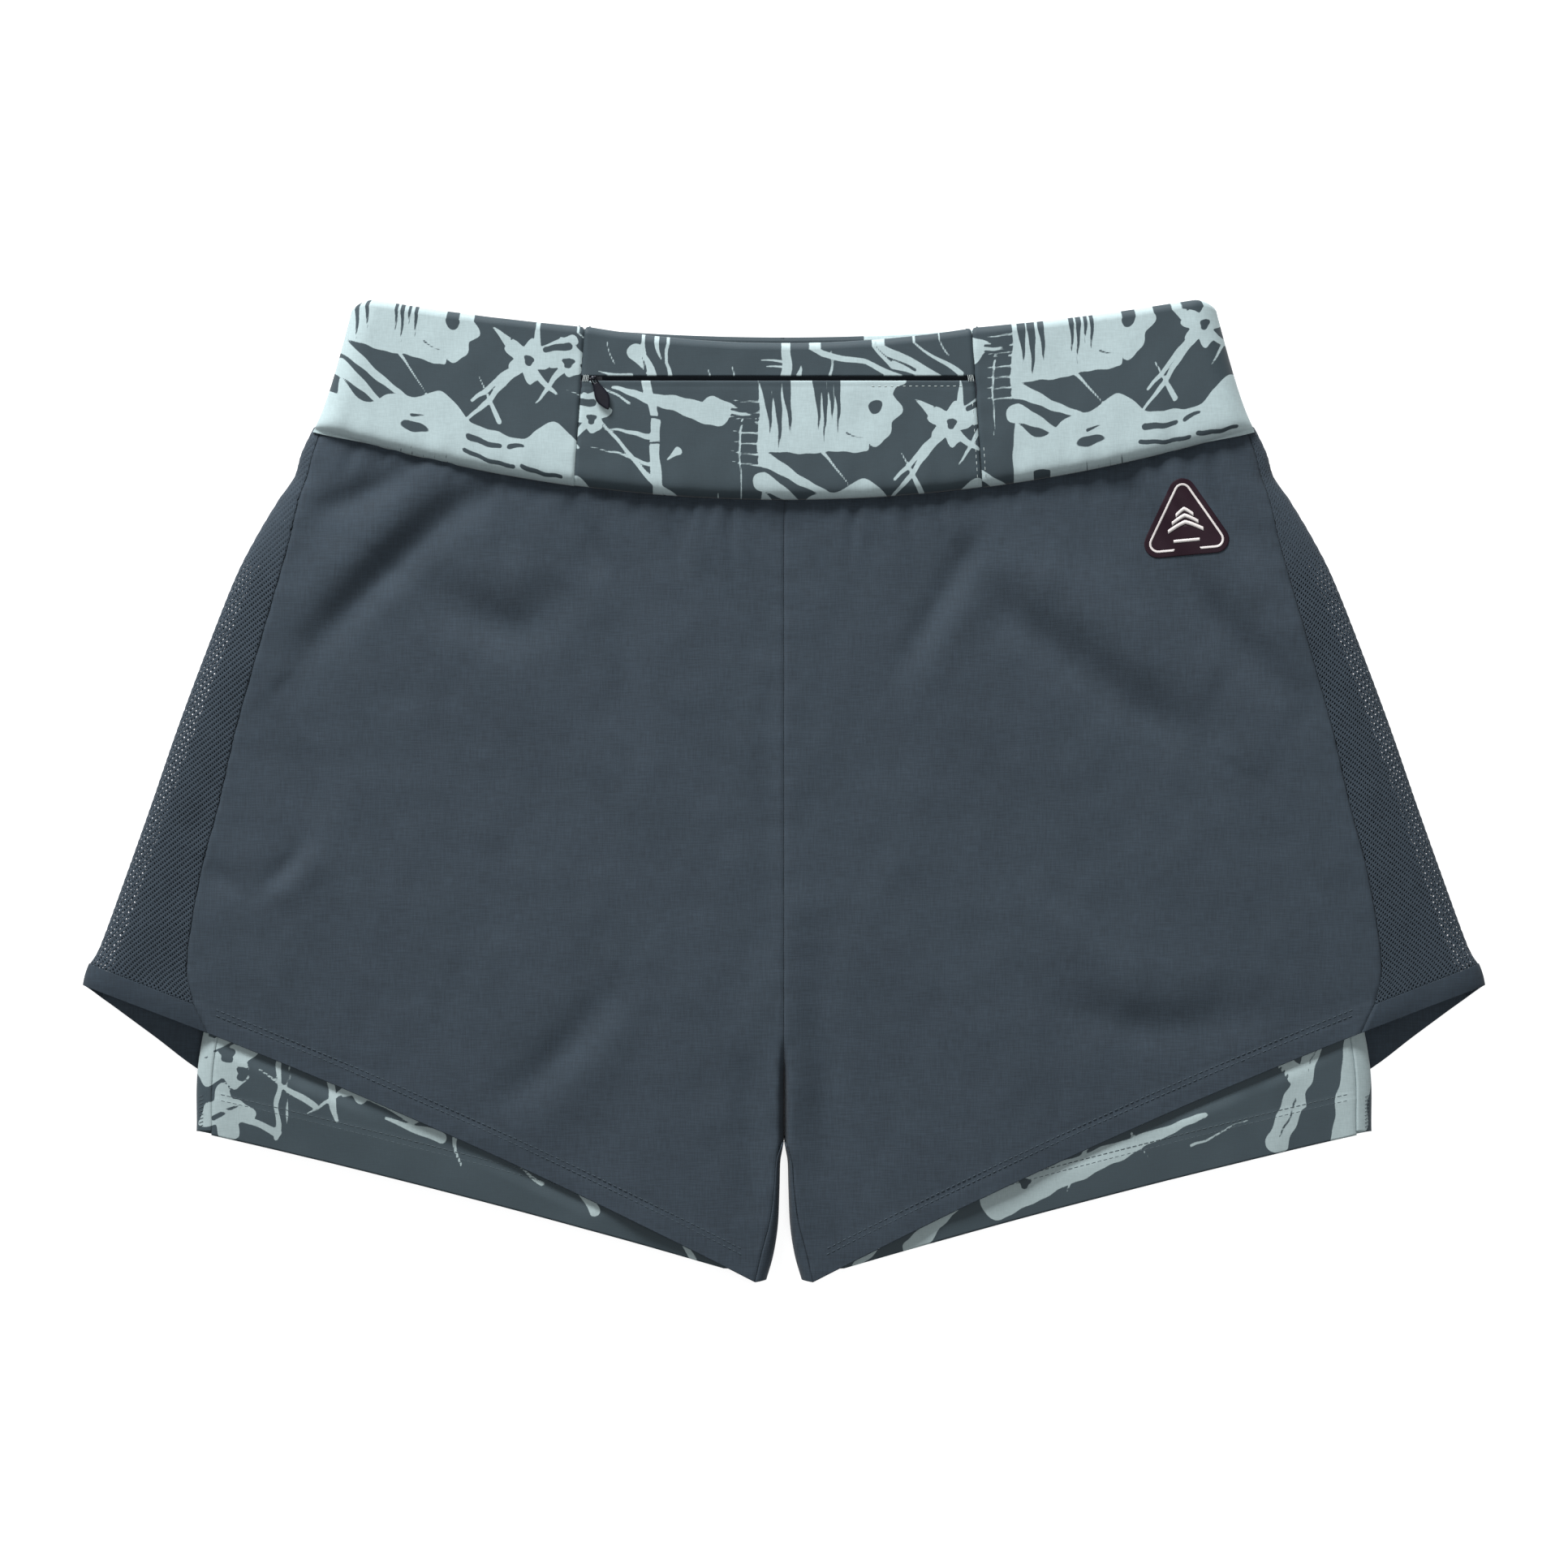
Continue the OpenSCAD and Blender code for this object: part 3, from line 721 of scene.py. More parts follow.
def marks(x, y, strokes=(), blots=(), blocks=()):
    """Several shapes as one, from rows of the numbers that stroke, blot and block take."""
    made = []
    for shape, rows in ((stroke, strokes), (blot, blots), (block, blocks)):
        made += [shape(x, y, *row) for row in rows]
    return joined(*made)


def slit_marks(x, y, rows):
    """Strokes that are each cut by slits: rows of a stroke and a list of its slits."""
    return joined(*[cut(stroke(x, y, *whole), marks(x, y, slits)) for whole, slits in rows])


TILE = 172.0  # the print repeats after this width


UPPER_BLOCKS = [(26, 42, 74, 90, 1.2)]
UPPER_BLOTS = [(74, 58, 12, 5, 0.11, 0.8, 1.15), (80, 74, 9, 4, 0.12, 2.0)]
UPPER_CUTS = [
    *[(29 + 4.6 * k, 78, 31 + 4.2 * k, 50 - 6 * (k % 2) - k, 6.6 - 0.8 * k, 0.1) for k in range(3)],
    *[(51 + 3.0 * k, 74, 52.0 + 2.7 * k, 54 - 4 * ((k + 1) % 3), 3.4, 0.1) for k in range(4)],
    (64, 50, 71, 48, 1.0, 0.2),
]
UPPER_HOLES = [(76, 60.6, 3.0, 3, 0.03)]
LOWER_CUTS = [
    (59, 16.8, 64, 18.0, 1.6, 0.3), (84, 13, 97, 11.6, 3.0, 2.0), (101, 12, 107, 13.4, 2.4, 1.2),
    (82, 6.6, 103, 3.4, 2.0, 1.8), (107, 4.4, 123, 2.6, 2.2, 1.6),
    *[(48 + 5.2 * k + (k % 2), -10, 48.4 + 5.1 * k, 1.2 + 1.7 * (k % 3), 1.3, 0.2) for k in range(6)],
]
LOWER_HOLES = [(60, 12, 5.6, 2, 0.10, 0.4, 0.42)]
LOWER_NOTCHES = [(36, -12, 43, 3.4), (92, -12, 99, -1.4)]
FEATHERS = [
    (29, 39, 62, 20, 6.5, 0.6), (27, 30, 47, 18, 8.0, 1.5), (54, 42, 66, 26, 1.3, 0.5),
    (66, 26, 69, 17, 0.6, 1.4), (96, 22, 88, 40, 2.2, 0.6), (82, 20, 102, 43, 1.1, 3.2),
]
STAR_STROKES = [
    (108, 50, 93, 63, 9.5, 0.3), (108, 50, 128, 62, 10.0, 4.4), (108, 50, 121, 38, 4.4, 1.2),
    (104, 47, 84, 29, 3.2, 1.2), (112, 54, 113, 70, 4.6, 0.3), (126, 52, 112, 33, 3.4, 0.4),
]
STAR_BLOTS = [(108, 50, 8.0, 5, 0.24, 1.0), (126, 54, 7.0, 4, 0.22, 0.2)]
STAR_CUTS = [(116, 57, 126, 59, 2.4, 3.4), (101, 58, 104, 61, 0.4, 2.6)]
STAR_HOLES = [(109, 51, 2.3, 3, 0.12, 0.5), (126, 52, 2.2, 3, 0.2)]
LINES = [
    (-17, -12, -18.6, 53, 4.4, 4.2), (-18.6, 52, -25, 86, 3.0, 4.4), (18, 22, 18.6, 58, 0.5, 0.9),
    (9, -12, 8, 24, 2.0, 0.5), (-42, 52, -18, 26, 0.8, 3.0), (-18, 26, 26, -4, 2.4, 4.2),
    (-46, 40, -20, 35, 0.3, 1.6), (-40, 48, -20, 47, 0.4, 2.6), (-34, 17, -19, 15.6, 0.3, 0.9),
    (-14, 1, -10, 8, 3.0, 0.3), (-13, 37, -8, 41, 0.5, 3.2), (-37, 66, 8, 58, 1.2, 10.5),
    (6, 61, 25, 57, 9.5, 0.6), (-50, 70, -30, 60, 0.4, 1.3), (-48, 12, -44, 3, 0.3, 1.1),
    (-39, 10, -35, -4, 0.3, 1.3), (-47, 86, -44, 73, 0.3, 1.0),
    *[(15, 64 - 4.4 * k, 27, 64.6 - 4.6 * k, 0.35, 0.9) for k in range(7)],
]
LINE_GAPS = [
    *[(14, 54.8 + 2.6 * k, 24, 55 + 2.6 * k, 1.2, 1.4) for k in range(3)],
    (-24, 44, -12, 44.6, 0.7, 1.2), (-30, 57, -14, 54.4, 0.5, 1.4),
]


def one_tile(x, y):
    """Signed distance to the light shapes of one repeat: x from 0 to TILE, y from about -10 to 82."""
    upper = marks(x, y, (), UPPER_BLOTS, UPPER_BLOCKS)
    wave = 24 + 4.6 * np.sin(x / 8.5) + 2.4 * np.sin(x / 3.7 + 1.0) - 5 * smooth_step(x, 84, 100)
    lower = np.maximum(np.maximum((y - wave) * 0.82, 27 - x), x - 131)
    return joined(
        cut(upper, marks(x, y, UPPER_CUTS, UPPER_HOLES)),
        cut(lower, marks(x, y, LOWER_CUTS, LOWER_HOLES, LOWER_NOTCHES)),
        marks(x, y, FEATHERS),
        cut(marks(x, y, STAR_STROKES, STAR_BLOTS), marks(x, y, STAR_CUTS, STAR_HOLES)),
        cut(marks(x, y, LINES), marks(x, y, LINE_GAPS)),
    )


def print_field(x, y, scale=1.0):
    """How far inside the light shapes each point of the cloth is, in millimetres."""
    x, y = x / scale, y / scale
    wobble = 0.5 * np.sin(y / 5.3 + 0.7 * np.sin(x / 5)) + 0.14 * np.sin(x / 1.9 + y / 1.7)
    x, y = x + wobble, y + 0.45 * np.sin(x / 3.6 + 1.3) + 0.2 * np.sin(x / 1.3)
    x = np.mod(x, TILE)
    return -scale * joined(one_tile(x, y), one_tile(x - TILE, y))


# --- Outer short ------------------------------------------------------------------------------
MESH_PATHS = [Path([row[k] for row in MESH_ROWS]) for k in range(3)]
WAIST_CORNER_X = MESH_ROWS[-1][0][0]
HEM_ALLOWANCE = 11.5
HEM_NEEDLES = (HEM_ALLOWANCE - 3.1, HEM_ALLOWANCE - 0.8)
HEM_SLOPE = 0.93  # the hem's slant: a distance across it over the same distance straight up
CLEFT_DEPTH, CLEFT_HALF = 6.3, 1.5


def along_x(x0, x1, edge, drop=0.0, count=60):
    x = np.linspace(x0, x1, count)
    return Path(np.stack([x, edge(x) - drop], -1), smooth=False)


def front_outline():
    side = Path([BAND_FRONT_HEM] + [row[0] for row in MESH_ROWS])
    centre = Path([row[0] for row in GUSSET_ROWS] + CENTRE)
    bottom = along_x(GUSSET_HEM_X, BAND_FRONT_HEM[0], front_hem)
    top = along_x(0, WAIST_CORNER_X, seam_edge, -SEAM_TUCK)
    return bottom, top, centre, side


def doubled(above, allowance, before=0.6, after=0.6):
    """1 on a hem's doubled cloth and 0 above it."""
    return 1 - smooth_step(above, allowance - before, allowance + after)


def edge_distance(xy, path):
    """Distance of each point of a grid from a curve."""
    dense = path(np.linspace(0, 1, 160))
    flat = xy.reshape(-1, 2)
    best = np.full(len(flat), 1e9)
    for a, b in zip(dense, dense[1:]):
        d = b - a
        t = np.clip(((flat - a) @ d) / (d @ d), 0, 1)
        best = np.minimum(best, np.hypot(*(flat - a - t[:, None] * d).T))
    return best.reshape(xy.shape[:2])


def outer_fronts():
    bottom, top, centre, side = front_outline()
    us, vs = shares(side(0.5)[0], 2.4, 0.45), shares(centre.length, 2.4, 0.45)
    xy = coons(bottom, top, centre, side, us, vs)
    seams = np.minimum(edge_distance(xy, centre), edge_distance(xy, side))
    for name, sign in SIDES:
        x, y = xy[..., 0] * sign, xy[..., 1]
        z = outer_front_z(x, y) + seam_dip(seams, 0.45, 0.8)
        # the two legs fold in against each other above the crotch
        z -= CLEFT_DEPTH * smooth_step(-y, 104, 128) * bell(x, CLEFT_HALF)
        above_hem = y - front_hem(x)
        z += 0.22 * doubled(above_hem, HEM_ALLOWANCE)
        for row in HEM_NEEDLES:
            z -= 0.26 * bell(above_hem * HEM_SLOPE - row, 0.6)
        z += 0.12 * np.exp(-seams / 6) * np.sin(y / 2.1 + 2 * np.sin(y / 17)) * (above_hem > 4)
        grid = for_side(np.stack([np.abs(x), y, z], -1), sign)
        thick = CLOTH_T + 0.6 * doubled(above_hem, HEM_ALLOWANCE, after=0.4)
        thick = thick if sign > 0 else thick[:, ::-1]
        cloth(f"front_panel_{name}", grid, WOVEN, [f"outer_front_{name}"], thick)


def outer_backs():
    _, top, front_centre, _ = front_outline()
    side = Path([BAND_BACK_HEM] + [row[2] for row in MESH_ROWS])
    bottom = Path([GUSSET_ROWS[0][2], *BACK_HEM[::-1], BAND_BACK_HEM])
    centre = Path([row[2] for row in GUSSET_ROWS] + CENTRE)
    us, vs = shares(bottom.length, 4.5, 1.2), shares(front_centre.length, 4.5, 0.9)
    xy = coons(bottom, top, centre, side, us, vs)
    hem_gap = edge_distance(xy, bottom)
    for name, sign in SIDES:
        x, y = xy[..., 0] * sign, xy[..., 1]
        lift = np.exp(-hem_gap / 15) * (0.5 + 0.45 * hem_lift(x, 23 + sign))
        z = outer_back_z(x, y) + np.clip(lift, 0, 2) * 1.2
        thick = CLOTH_T + 0.5 * doubled(hem_gap, 11, 0.5, 0.5)
        # the outer face is the one underneath, so the columns run the other way
        grid = for_side(np.stack([xy[..., 0], y, z], -1), -sign) * MIRROR
        thick = thick if sign < 0 else thick[:, ::-1]
        cloth(f"back_panel_{name}", grid, WOVEN, [f"outer_back_{name}"], thick)


def section_grid(paths, zone, heights, sign, columns, out=0.0, own_fold=False):
    """A grid round a fold. Columns run from the front seam to the fold, then on to the back seam.

    heights are those of the front and back face. With own_fold each row turns down over its own
    width, so that its middle height is at the fold.
    """
    front, fold, back = (path(zone)[:, None] for path in paths)
    t = np.linspace(0, 1, columns)[None, :, None]
    ahead, behind = fold + (front - fold) * t**2, fold + (back - fold) * t**2
    parts = []
    for xy, height in ((ahead[:, ::-1], heights[0]), (behind[:, 1:], heights[1])):
        z = height(xy[..., 0] * sign, xy[..., 1])
        if own_fold:
            d = np.linalg.norm(xy - fold, axis=2)
            middle = LEG_H / 2
            z = middle + (z - middle) * ellipse(d, np.maximum(d.max(1, keepdims=True), 0.5))
        parts.append(np.dstack([xy, z]))
    grid = np.concatenate(parts, 1)
    return grid + out * normals(grid)


MESH_PITCH = (1.36, 1.5)  # along and across the mesh's diagonal rows
HOLE_SHARE = 0.44  # of the pitch
MESH_ZONES, MESH_COLUMNS, MESH_SAMPLES = 170, 44, 400
# the rows run up to the left on the wearer's left side, and up to the right on the other
MESH_ALONG, MESH_ACROSS = np.array([-1, 1]) / math.sqrt(2), np.array([1, 1]) / math.sqrt(2)


class MeshSurface:
    """The mesh side's surface, read by where a point lies in the unfolded cloth.

    Y is the same in the unfolded cloth, and X is the fold's x less the way round to the front.
    """

    def __init__(self, sign):
        zone = np.linspace(0, 1, MESH_ZONES)
        grid = section_grid(MESH_PATHS, zone, (outer_front_z, outer_back_z), sign, MESH_COLUMNS)
        grid = grid - 0.15 * normals(grid)
        run = np.linalg.norm(np.diff(grid, axis=1), axis=2)
        length = np.concatenate([np.zeros((MESH_ZONES, 1)), run.cumsum(1)], 1)
        from_fold = length[:, MESH_COLUMNS - 1 : MESH_COLUMNS] - length
        self.fold = MESH_PATHS[1](zone)
        self.rows = zone * (MESH_ZONES - 1)
        self.start, self.end = from_fold[:, 0], from_fold[:, -1]
        self.even = np.zeros((MESH_ZONES, MESH_SAMPLES, 3))
        for i in range(MESH_ZONES):
            at = mix(self.start[i], self.end[i], np.linspace(0, 1, MESH_SAMPLES))
            for k in range(3):
                self.even[i, :, k] = np.interp(-at, -from_fold[i], grid[i, :, k])
        self.area, self.width = grid_area(grid), length[:, -1].max()

    def lookup(self, i, s):
        """The point of row i that lies s round from the fold."""
        share = (s - self.start[i]) / (self.end[i] - self.start[i]) * (MESH_SAMPLES - 1)
        j = np.clip(share.astype(int), 0, MESH_SAMPLES - 2)
        f = (share - j)[..., None]
        return self.even[i, j] * (1 - f) + self.even[i, j + 1] * f

    def __call__(self, u, v):
        """Where points of the lattice lie on the garment, and whether they are on the cloth."""
        flat = u[..., None] * MESH_ALONG + v[..., None] * MESH_ACROSS
        y = flat[..., 1]
        s = np.interp(y, self.fold[:, 1], self.fold[:, 0]) - flat[..., 0]
        row = np.interp(y, self.fold[:, 1], self.rows)
        first = np.clip(row.astype(int), 0, MESH_ZONES - 2)
        w = row - first
        at = start = end = 0
        for i, weight in ((first, 1 - w), (first + 1, w)):
            at = at + weight[..., None] * self.lookup(i, np.clip(s, self.end[i], self.start[i]))
            start, end = start + self.start[i] * weight, end + self.end[i] * weight
        inside = (y > self.fold[0, 1] - 26) & (y < self.fold[-1, 1] + 1)
        return at, inside & (s < start + 0.5) & (s > end - 0.5)

    def lattice(self):
        """The lattice's corners over the whole piece, as coordinates along and across its rows."""
        (x0, y0), (x1, y1) = self.fold.min(0) - (60, 20), self.fold.max(0) + (30, 10)
        corners = np.array([[x0, y0], [x1, y0], [x1, y1], [x0, y1]])
        axes = []
        for axis, pitch in zip((MESH_ALONG, MESH_ACROSS), MESH_PITCH):
            at = corners @ axis
            axes.append(pitch * np.arange(math.floor(at.min() / pitch), math.ceil(at.max() / pitch) + 1))
        return np.meshgrid(*axes, indexing="ij")

    def facing(self, u, v):
        """Unit normals at points of the lattice."""
        eps = 0.4
        n = np.cross(self(u, v + eps)[0] - self(u, v - eps)[0], self(u + eps, v)[0] - self(u - eps, v)[0])
        size = np.linalg.norm(n, axis=1, keepdims=True)
        upright = np.where(self(u, v)[0][:, 2:] > LEG_H / 2, 1.0, -1.0) * np.array([[0, 0, 1.0]])
        return np.where(size > 1e-4, n / np.maximum(size, 1e-9), upright)


def rim_edges(cells):
    """The edges that belong to only one cell, each running the other way round."""
    edges = {}
    for cell in cells.tolist():
        for a, b in zip(cell, cell[1:] + cell[:1]):
            if (b, a) in edges:
                del edges[(b, a)]
            else:
                edges[(a, b)] = True
    return [(b, a) for a, b in edges]


def mesh_side(name, sign):
    """The mesh side: knitted net with a real hole in every cell, folded round the garment's side."""
    surface = MeshSurface(sign)
    gu, gv = surface.lattice()
    cu, cv = gu[:-1, :-1] + MESH_PITCH[0] / 2, gv[:-1, :-1] + MESH_PITCH[1] / 2
    i, j = np.nonzero(surface(cu, cv)[1])
    rng = np.random.default_rng(5)
    corner_signs = np.array([(-1, -1), (1, -1), (1, 1), (-1, 1)])
    offsets = corner_signs * HOLE_SHARE / 2 + rng.uniform(-0.05, 0.05, (len(i), 4, 2))
    # the net is pulled together under the waistband
    cell_y = (cu + cv)[i, j] / math.sqrt(2)
    offsets *= (1 - 0.7 * smooth_step(cell_y, 90, 122))[:, None, None]
    hole_u = cu[i, j][:, None] + offsets[..., 0] * MESH_PITCH[0]
    hole_v = cv[i, j][:, None] + offsets[..., 1] * MESH_PITCH[1]
    hole_at, _ = surface(hole_u, hole_v)
    corner, row = i * gu.shape[1] + j, gu.shape[1]
    used, ids = np.unique(
        np.stack([corner, corner + row, corner + row + 1, corner + 1], -1), return_inverse=True
    )
    ids = ids.reshape(-1, 4)
    u, v = gu.ravel()[used], gv.ravel()[used]
    net, facing = surface(u, v)[0], surface.facing(u, v)
    hole_facing = facing[ids]
    skins = [net + 0.10 * facing, net - 0.42 * facing]
    skins += [(hole_at + lift * hole_facing).reshape(-1, 3) for lift in (-0.06, -0.30)]
    n, m = len(net), len(i) * 4
    holes = 2 * n + np.arange(m).reshape(-1, 4)
    quads = []
    for k in range(4):
        e = (k + 1) % 4
        quads.append(np.stack([ids[:, k], ids[:, e], holes[:, e], holes[:, k]], -1))
        quads.append(np.stack([ids[:, e] + n, ids[:, k] + n, holes[:, k] + m, holes[:, e] + m], -1))
        quads.append(np.stack([holes[:, k], holes[:, e], holes[:, e] + m, holes[:, k] + m], -1))
    # the lattice's rim is closed between the two skins
    quads.append(np.array([(a, b, b + n, a + n) for a, b in rim_edges(ids)]))
    verts, quads = np.vstack(skins), np.vstack(quads)
    if sign < 0:
        verts, quads = verts * MIRROR, quads[:, ::-1]
    label = f"mesh_panel_{name}"
    obj = piece(label, new_mesh(label, verts, quads), MESH_YARN, [f"mesh_side_{name}"])


def side_hem_bands():
    """The woven band that finishes the mesh side, folded round the side of the hem."""
    ends = (BAND_FRONT_HEM, HEM_CORNER, BAND_BACK_HEM)
    paths = [Path([end, corner], smooth=False) for end, corner in zip(ends, MESH_ROWS[0])]
    zone = shares(paths[0].length, 1.2, 0.4)
    swell = 0.3 * np.sin(np.pi * zone)[:, None, None]
    for name, sign in SIDES:
        grid = section_grid(paths, zone, (outer_front_z, outer_back_z), sign, 40, 0.35)
        grid = turned(grid + swell * normals(grid), sign)
        cloth(f"hem_band_{name}", grid, HEM_CLOTH, [f"side_hem_band_{name}"], 1.0)


def turned(grid, sign):
    """A grid whose columns run outwards in front, set right for its side."""
    return grid if sign > 0 else grid[:, ::-1] * MIRROR


def off_table_z(x, y):
    return outer_back_z(x, y) + 0.1


def gussets():
    """The narrow pieces round the inseams, whose folds face the middle of the garment."""
    for rows, inner, heights in (
        (GUSSET_ROWS, False, (outer_front_z, off_table_z)),
        (INNER_GUSSET_ROWS, True, (inner_front_z, inner_back_z)),
    ):
        paths = [Path([row[k] for row in rows]) for k in range(3)]
        zone = shares(paths[0].length, 2.4, 0.5)
        for name, sign in SIDES:
            grid = section_grid(paths, zone, heights, sign, 14, own_fold=True)
            grid = grid[:, ::-1] if sign > 0 else grid * MIRROR
            if inner:
                field = inner_field(grid[..., 0], grid[..., 1])
                node = [f"inner_gusset_{name}"]
                cloth(f"inner_inseam_{name}", grid, INNER_PRINT, node, field=field)
            else:
                cloth(f"inseam_{name}", grid, WOVEN, [f"outer_gusset_{name}"])


# --- Inner short ------------------------------------------------------------------------------
INNER_HEM_DEPTH = 18.5
INNER_GUSSET_X = 26
INNER_CLEARANCE = 1.5  # from the outer short's front face down to the inner short's


# The light shapes on the inner short, whose two legs are cut differently
LEFT_LEG = [
    (251, -88, 243, -152, 12, 15), (222, -122, 224, -134, 8, 3), (150, -146, 158, -158, 1.2, 0.4),
    (132, -150, 122, -172, 1.4, 0.4), (84, -164, 56, -196, 3, 9), (46, -186, 30, -204, 7, 3),
    (200, -140, 176, -152, 0.4, 1.2),
]
LEFT_LEG_SLIT = [
    ((236, -92, 213, -150, 5, 10), [(233, -103, 214, -148, 0.5, 0.9)]),
    ((196, -96, 222, -122, 3, 9), [(198, -101, 220, -124, 0.6, 0.8), (204, -100, 222, -116, 0.5, 0.7)]),
    ((204, -112, 116, -138, 3, 13), [(196, -121, 120, -137, 0.4, 0.8), (186, -128, 128, -144, 0.5, 0.7)]),
]
LEFT_LEG_LOWEST = (182, -138, 92, -176, 2, 15)
LEFT_LEG_LOWEST_CUTS = [(162, -143, 98, -166, 0.5, 1.0)], [(104, -168, 2.4, 3, 0.2)]
RIGHT_LEG = [
    (-252, -132, -219, -146, 1.2, 3.4), (-232, -104, -219, -92, 3.0, 0.8), (-217, -92, -219, -148, 1.6, 2.2),
    (-213.6, -96, -214.6, -144, 0.6, 0.8), (-227, -119, -203, -134, 0.6, 3.0),
    (-199, -108, -193, -141, 5.5, 1.6), (-206, -138, -190, -128, 0.4, 2.2),
    (-184, -128, -160, -138, 1.0, 8.0), (-172, -140, -148, -148, 1.2, 5.0),
    (-144, -136, -140, -160, 2.6, 1.0), (-152, -132, -128, -137, 0.5, 2.4),
    (-93, -162, -82, -180, 1.4, 5.0), (-86, -172, -72, -176, 3.4, 0.4), (-57, -184, -36, -196, 3.4, 1.6),
    (-46, -188, -38, -204, 0.6, 3.0), (-118, -158, -104, -168, 0.4, 1.6),
]
# A blot, the slits in it and the holes in it
RIGHT_LEG_BLOTS = [
    (
        (-242, -112, 14, 5, 0.16, 0.4), [(-254, -116, -232, -104, 0.8, 1.4)],
        [(-240, -112, 3.4, 3, 0.2), (-247, -103, 2.4, 4, 0.1), (-234, -120, 3.0, 3, 0.2, 1.0)],
    ),
    ((-241, -138, 10, 4, 0.24, 1.0), [(-246, -140, -236, -134, 2.2, 0.8)], []),
    ((-184, -126, 6.5, 4, 0.2), [(-194, -121, -178, -131, 0.7, 0.9)], [(-184, -126, 2.2, 3, 0.2)]),
]


def inner_marks(x, y):
    """Signed distance to the light shapes on the inner short."""
    lowest = cut(stroke(x, y, *LEFT_LEG_LOWEST), marks(x, y, *LEFT_LEG_LOWEST_CUTS))
    left = joined(marks(x, y, LEFT_LEG), slit_marks(x, y, LEFT_LEG_SLIT), lowest)
    blots = [cut(blot(x, y, *whole), marks(x, y, slits, holes)) for whole, slits, holes in RIGHT_LEG_BLOTS]
    return np.where(x > 0, left, joined(marks(x, y, RIGHT_LEG), *blots))


def inner_field(x, y):
    wobble = 0.5 * np.sin(y / 3.1 + 0.9 * np.sin(x / 4)) + 0.35 * np.sin(x / 1.7 + y / 2.3)
    return -inner_marks(x + wobble, y + 0.4 * np.sin(x / 2.9 + 1))


def under_outer(x, y, z):
    """The inner short kept clear of the outer short's front, which is thicker at its hem."""
    covered = smooth_step(y - front_hem(x), -9, -2)
    return mix(z, np.minimum(z, outer_front_z(x, y) - INNER_CLEARANCE), covered)


def inner_cloth(node, grid):
    """One of the inner short's panels, with its print."""
    field = inner_field(grid[..., 0], grid[..., 1])
    name = node.replace("_left", "_panel_left").replace("_right", "_panel_right")
    cloth(name, grid, INNER_PRINT, [node], field=field)


def inner_fronts():
    front_x = INNER_HEM_SIDE_X - INNER_FOLD_IN
    side = Path(
        [(front_x, float(inner_hem(front_x)))] + [(x - INNER_FOLD_IN, y) for x, y in INNER_SIDES[1:]]
    )
    centre = Path([row[0] for row in INNER_GUSSET_ROWS] + INNER_CENTRE)
    bottom = along_x(INNER_GUSSET_X, front_x, inner_hem)
    top = along_x(0, side.p[-1, 0], seam_edge, 1.5)
    # the part that shows below the outer short has finer rows
    fine_part, fine_rows = 0.21, 72
    vs = np.r_[np.linspace(0, fine_part, fine_rows), np.linspace(fine_part, 1, 42)[1:]]
    us = shares(bottom.length, 1.1, 0.5)
    xy = coons(bottom, top, centre, side, us, vs)
    seams = edge_distance(xy, side)
    for name, sign in SIDES:
        x, y = xy[..., 0] * sign, xy[..., 1]
        above = y - inner_hem(x)
        z = inner_front_z(x, y) + seam_dip(seams, 0.4, 0.8)
        z += 0.2 * doubled(above, INNER_HEM_DEPTH, 0.5, 0.5)
        z -= 0.15 * bell(above - INNER_HEM_DEPTH + 1.2, 0.6)
        z = under_outer(x, y, z)
        inner_cloth(f"inner_front_{name}", for_side(np.stack([xy[..., 0], y, z], -1), sign))


def inner_backs():
    """The inner short's back panels, which come round the fold to the front's side seam."""
    fold = Path([(INNER_HEM_SIDE_X, float(inner_hem(INNER_HEM_SIDE_X)))] + INNER_SIDES[1:])
    centre = Path([row[2] for row in INNER_GUSSET_ROWS] + INNER_CENTRE)
    bottom = along_x(INNER_GUSSET_X, INNER_HEM_SIDE_X, inner_hem, -1.0)
    top = along_x(0, fold.p[-1, 0], seam_edge, 1.5)
    us, vs = 1 - shares(bottom.length, 4.5, 0.6, "low")[::-1], shares(fold.length, 3.0, 0.8)
    xy = coons(bottom, top, centre, fold, us, vs)[:, ::-1]
    strip = np.linspace(INNER_FOLD_IN, 0, 12)[:-1] ** 2 / INNER_FOLD_IN
    wrap = xy[:, :1] - np.stack([strip, 0 * strip], -1)[None]
    for name, sign in SIDES:
        wrap_x, wrap_y = wrap[..., 0] * sign, wrap[..., 1]
        z_wrap = under_outer(wrap_x, wrap_y, inner_front_z(wrap_x, wrap_y))
        z_back = inner_back_z(xy[..., 0] * sign, xy[..., 1])
        grid = np.concatenate([np.dstack([wrap, z_wrap]), np.dstack([xy, z_back])], 1)
        inner_cloth(f"inner_back_{name}", turned(grid, sign))


# --- Waistband --------------------------------------------------------------------------------
LEFT_PRINT_X, RIGHT_PRINT_X = 72, -219
PANEL_PRINT = (-37, 22)
RIGHT_EXTRA_STROKE = (4, 8, 36, 6, 24, 21)
REAR_LIGHT_X = 34.6  # the rear facing is light on the wearer's left of here

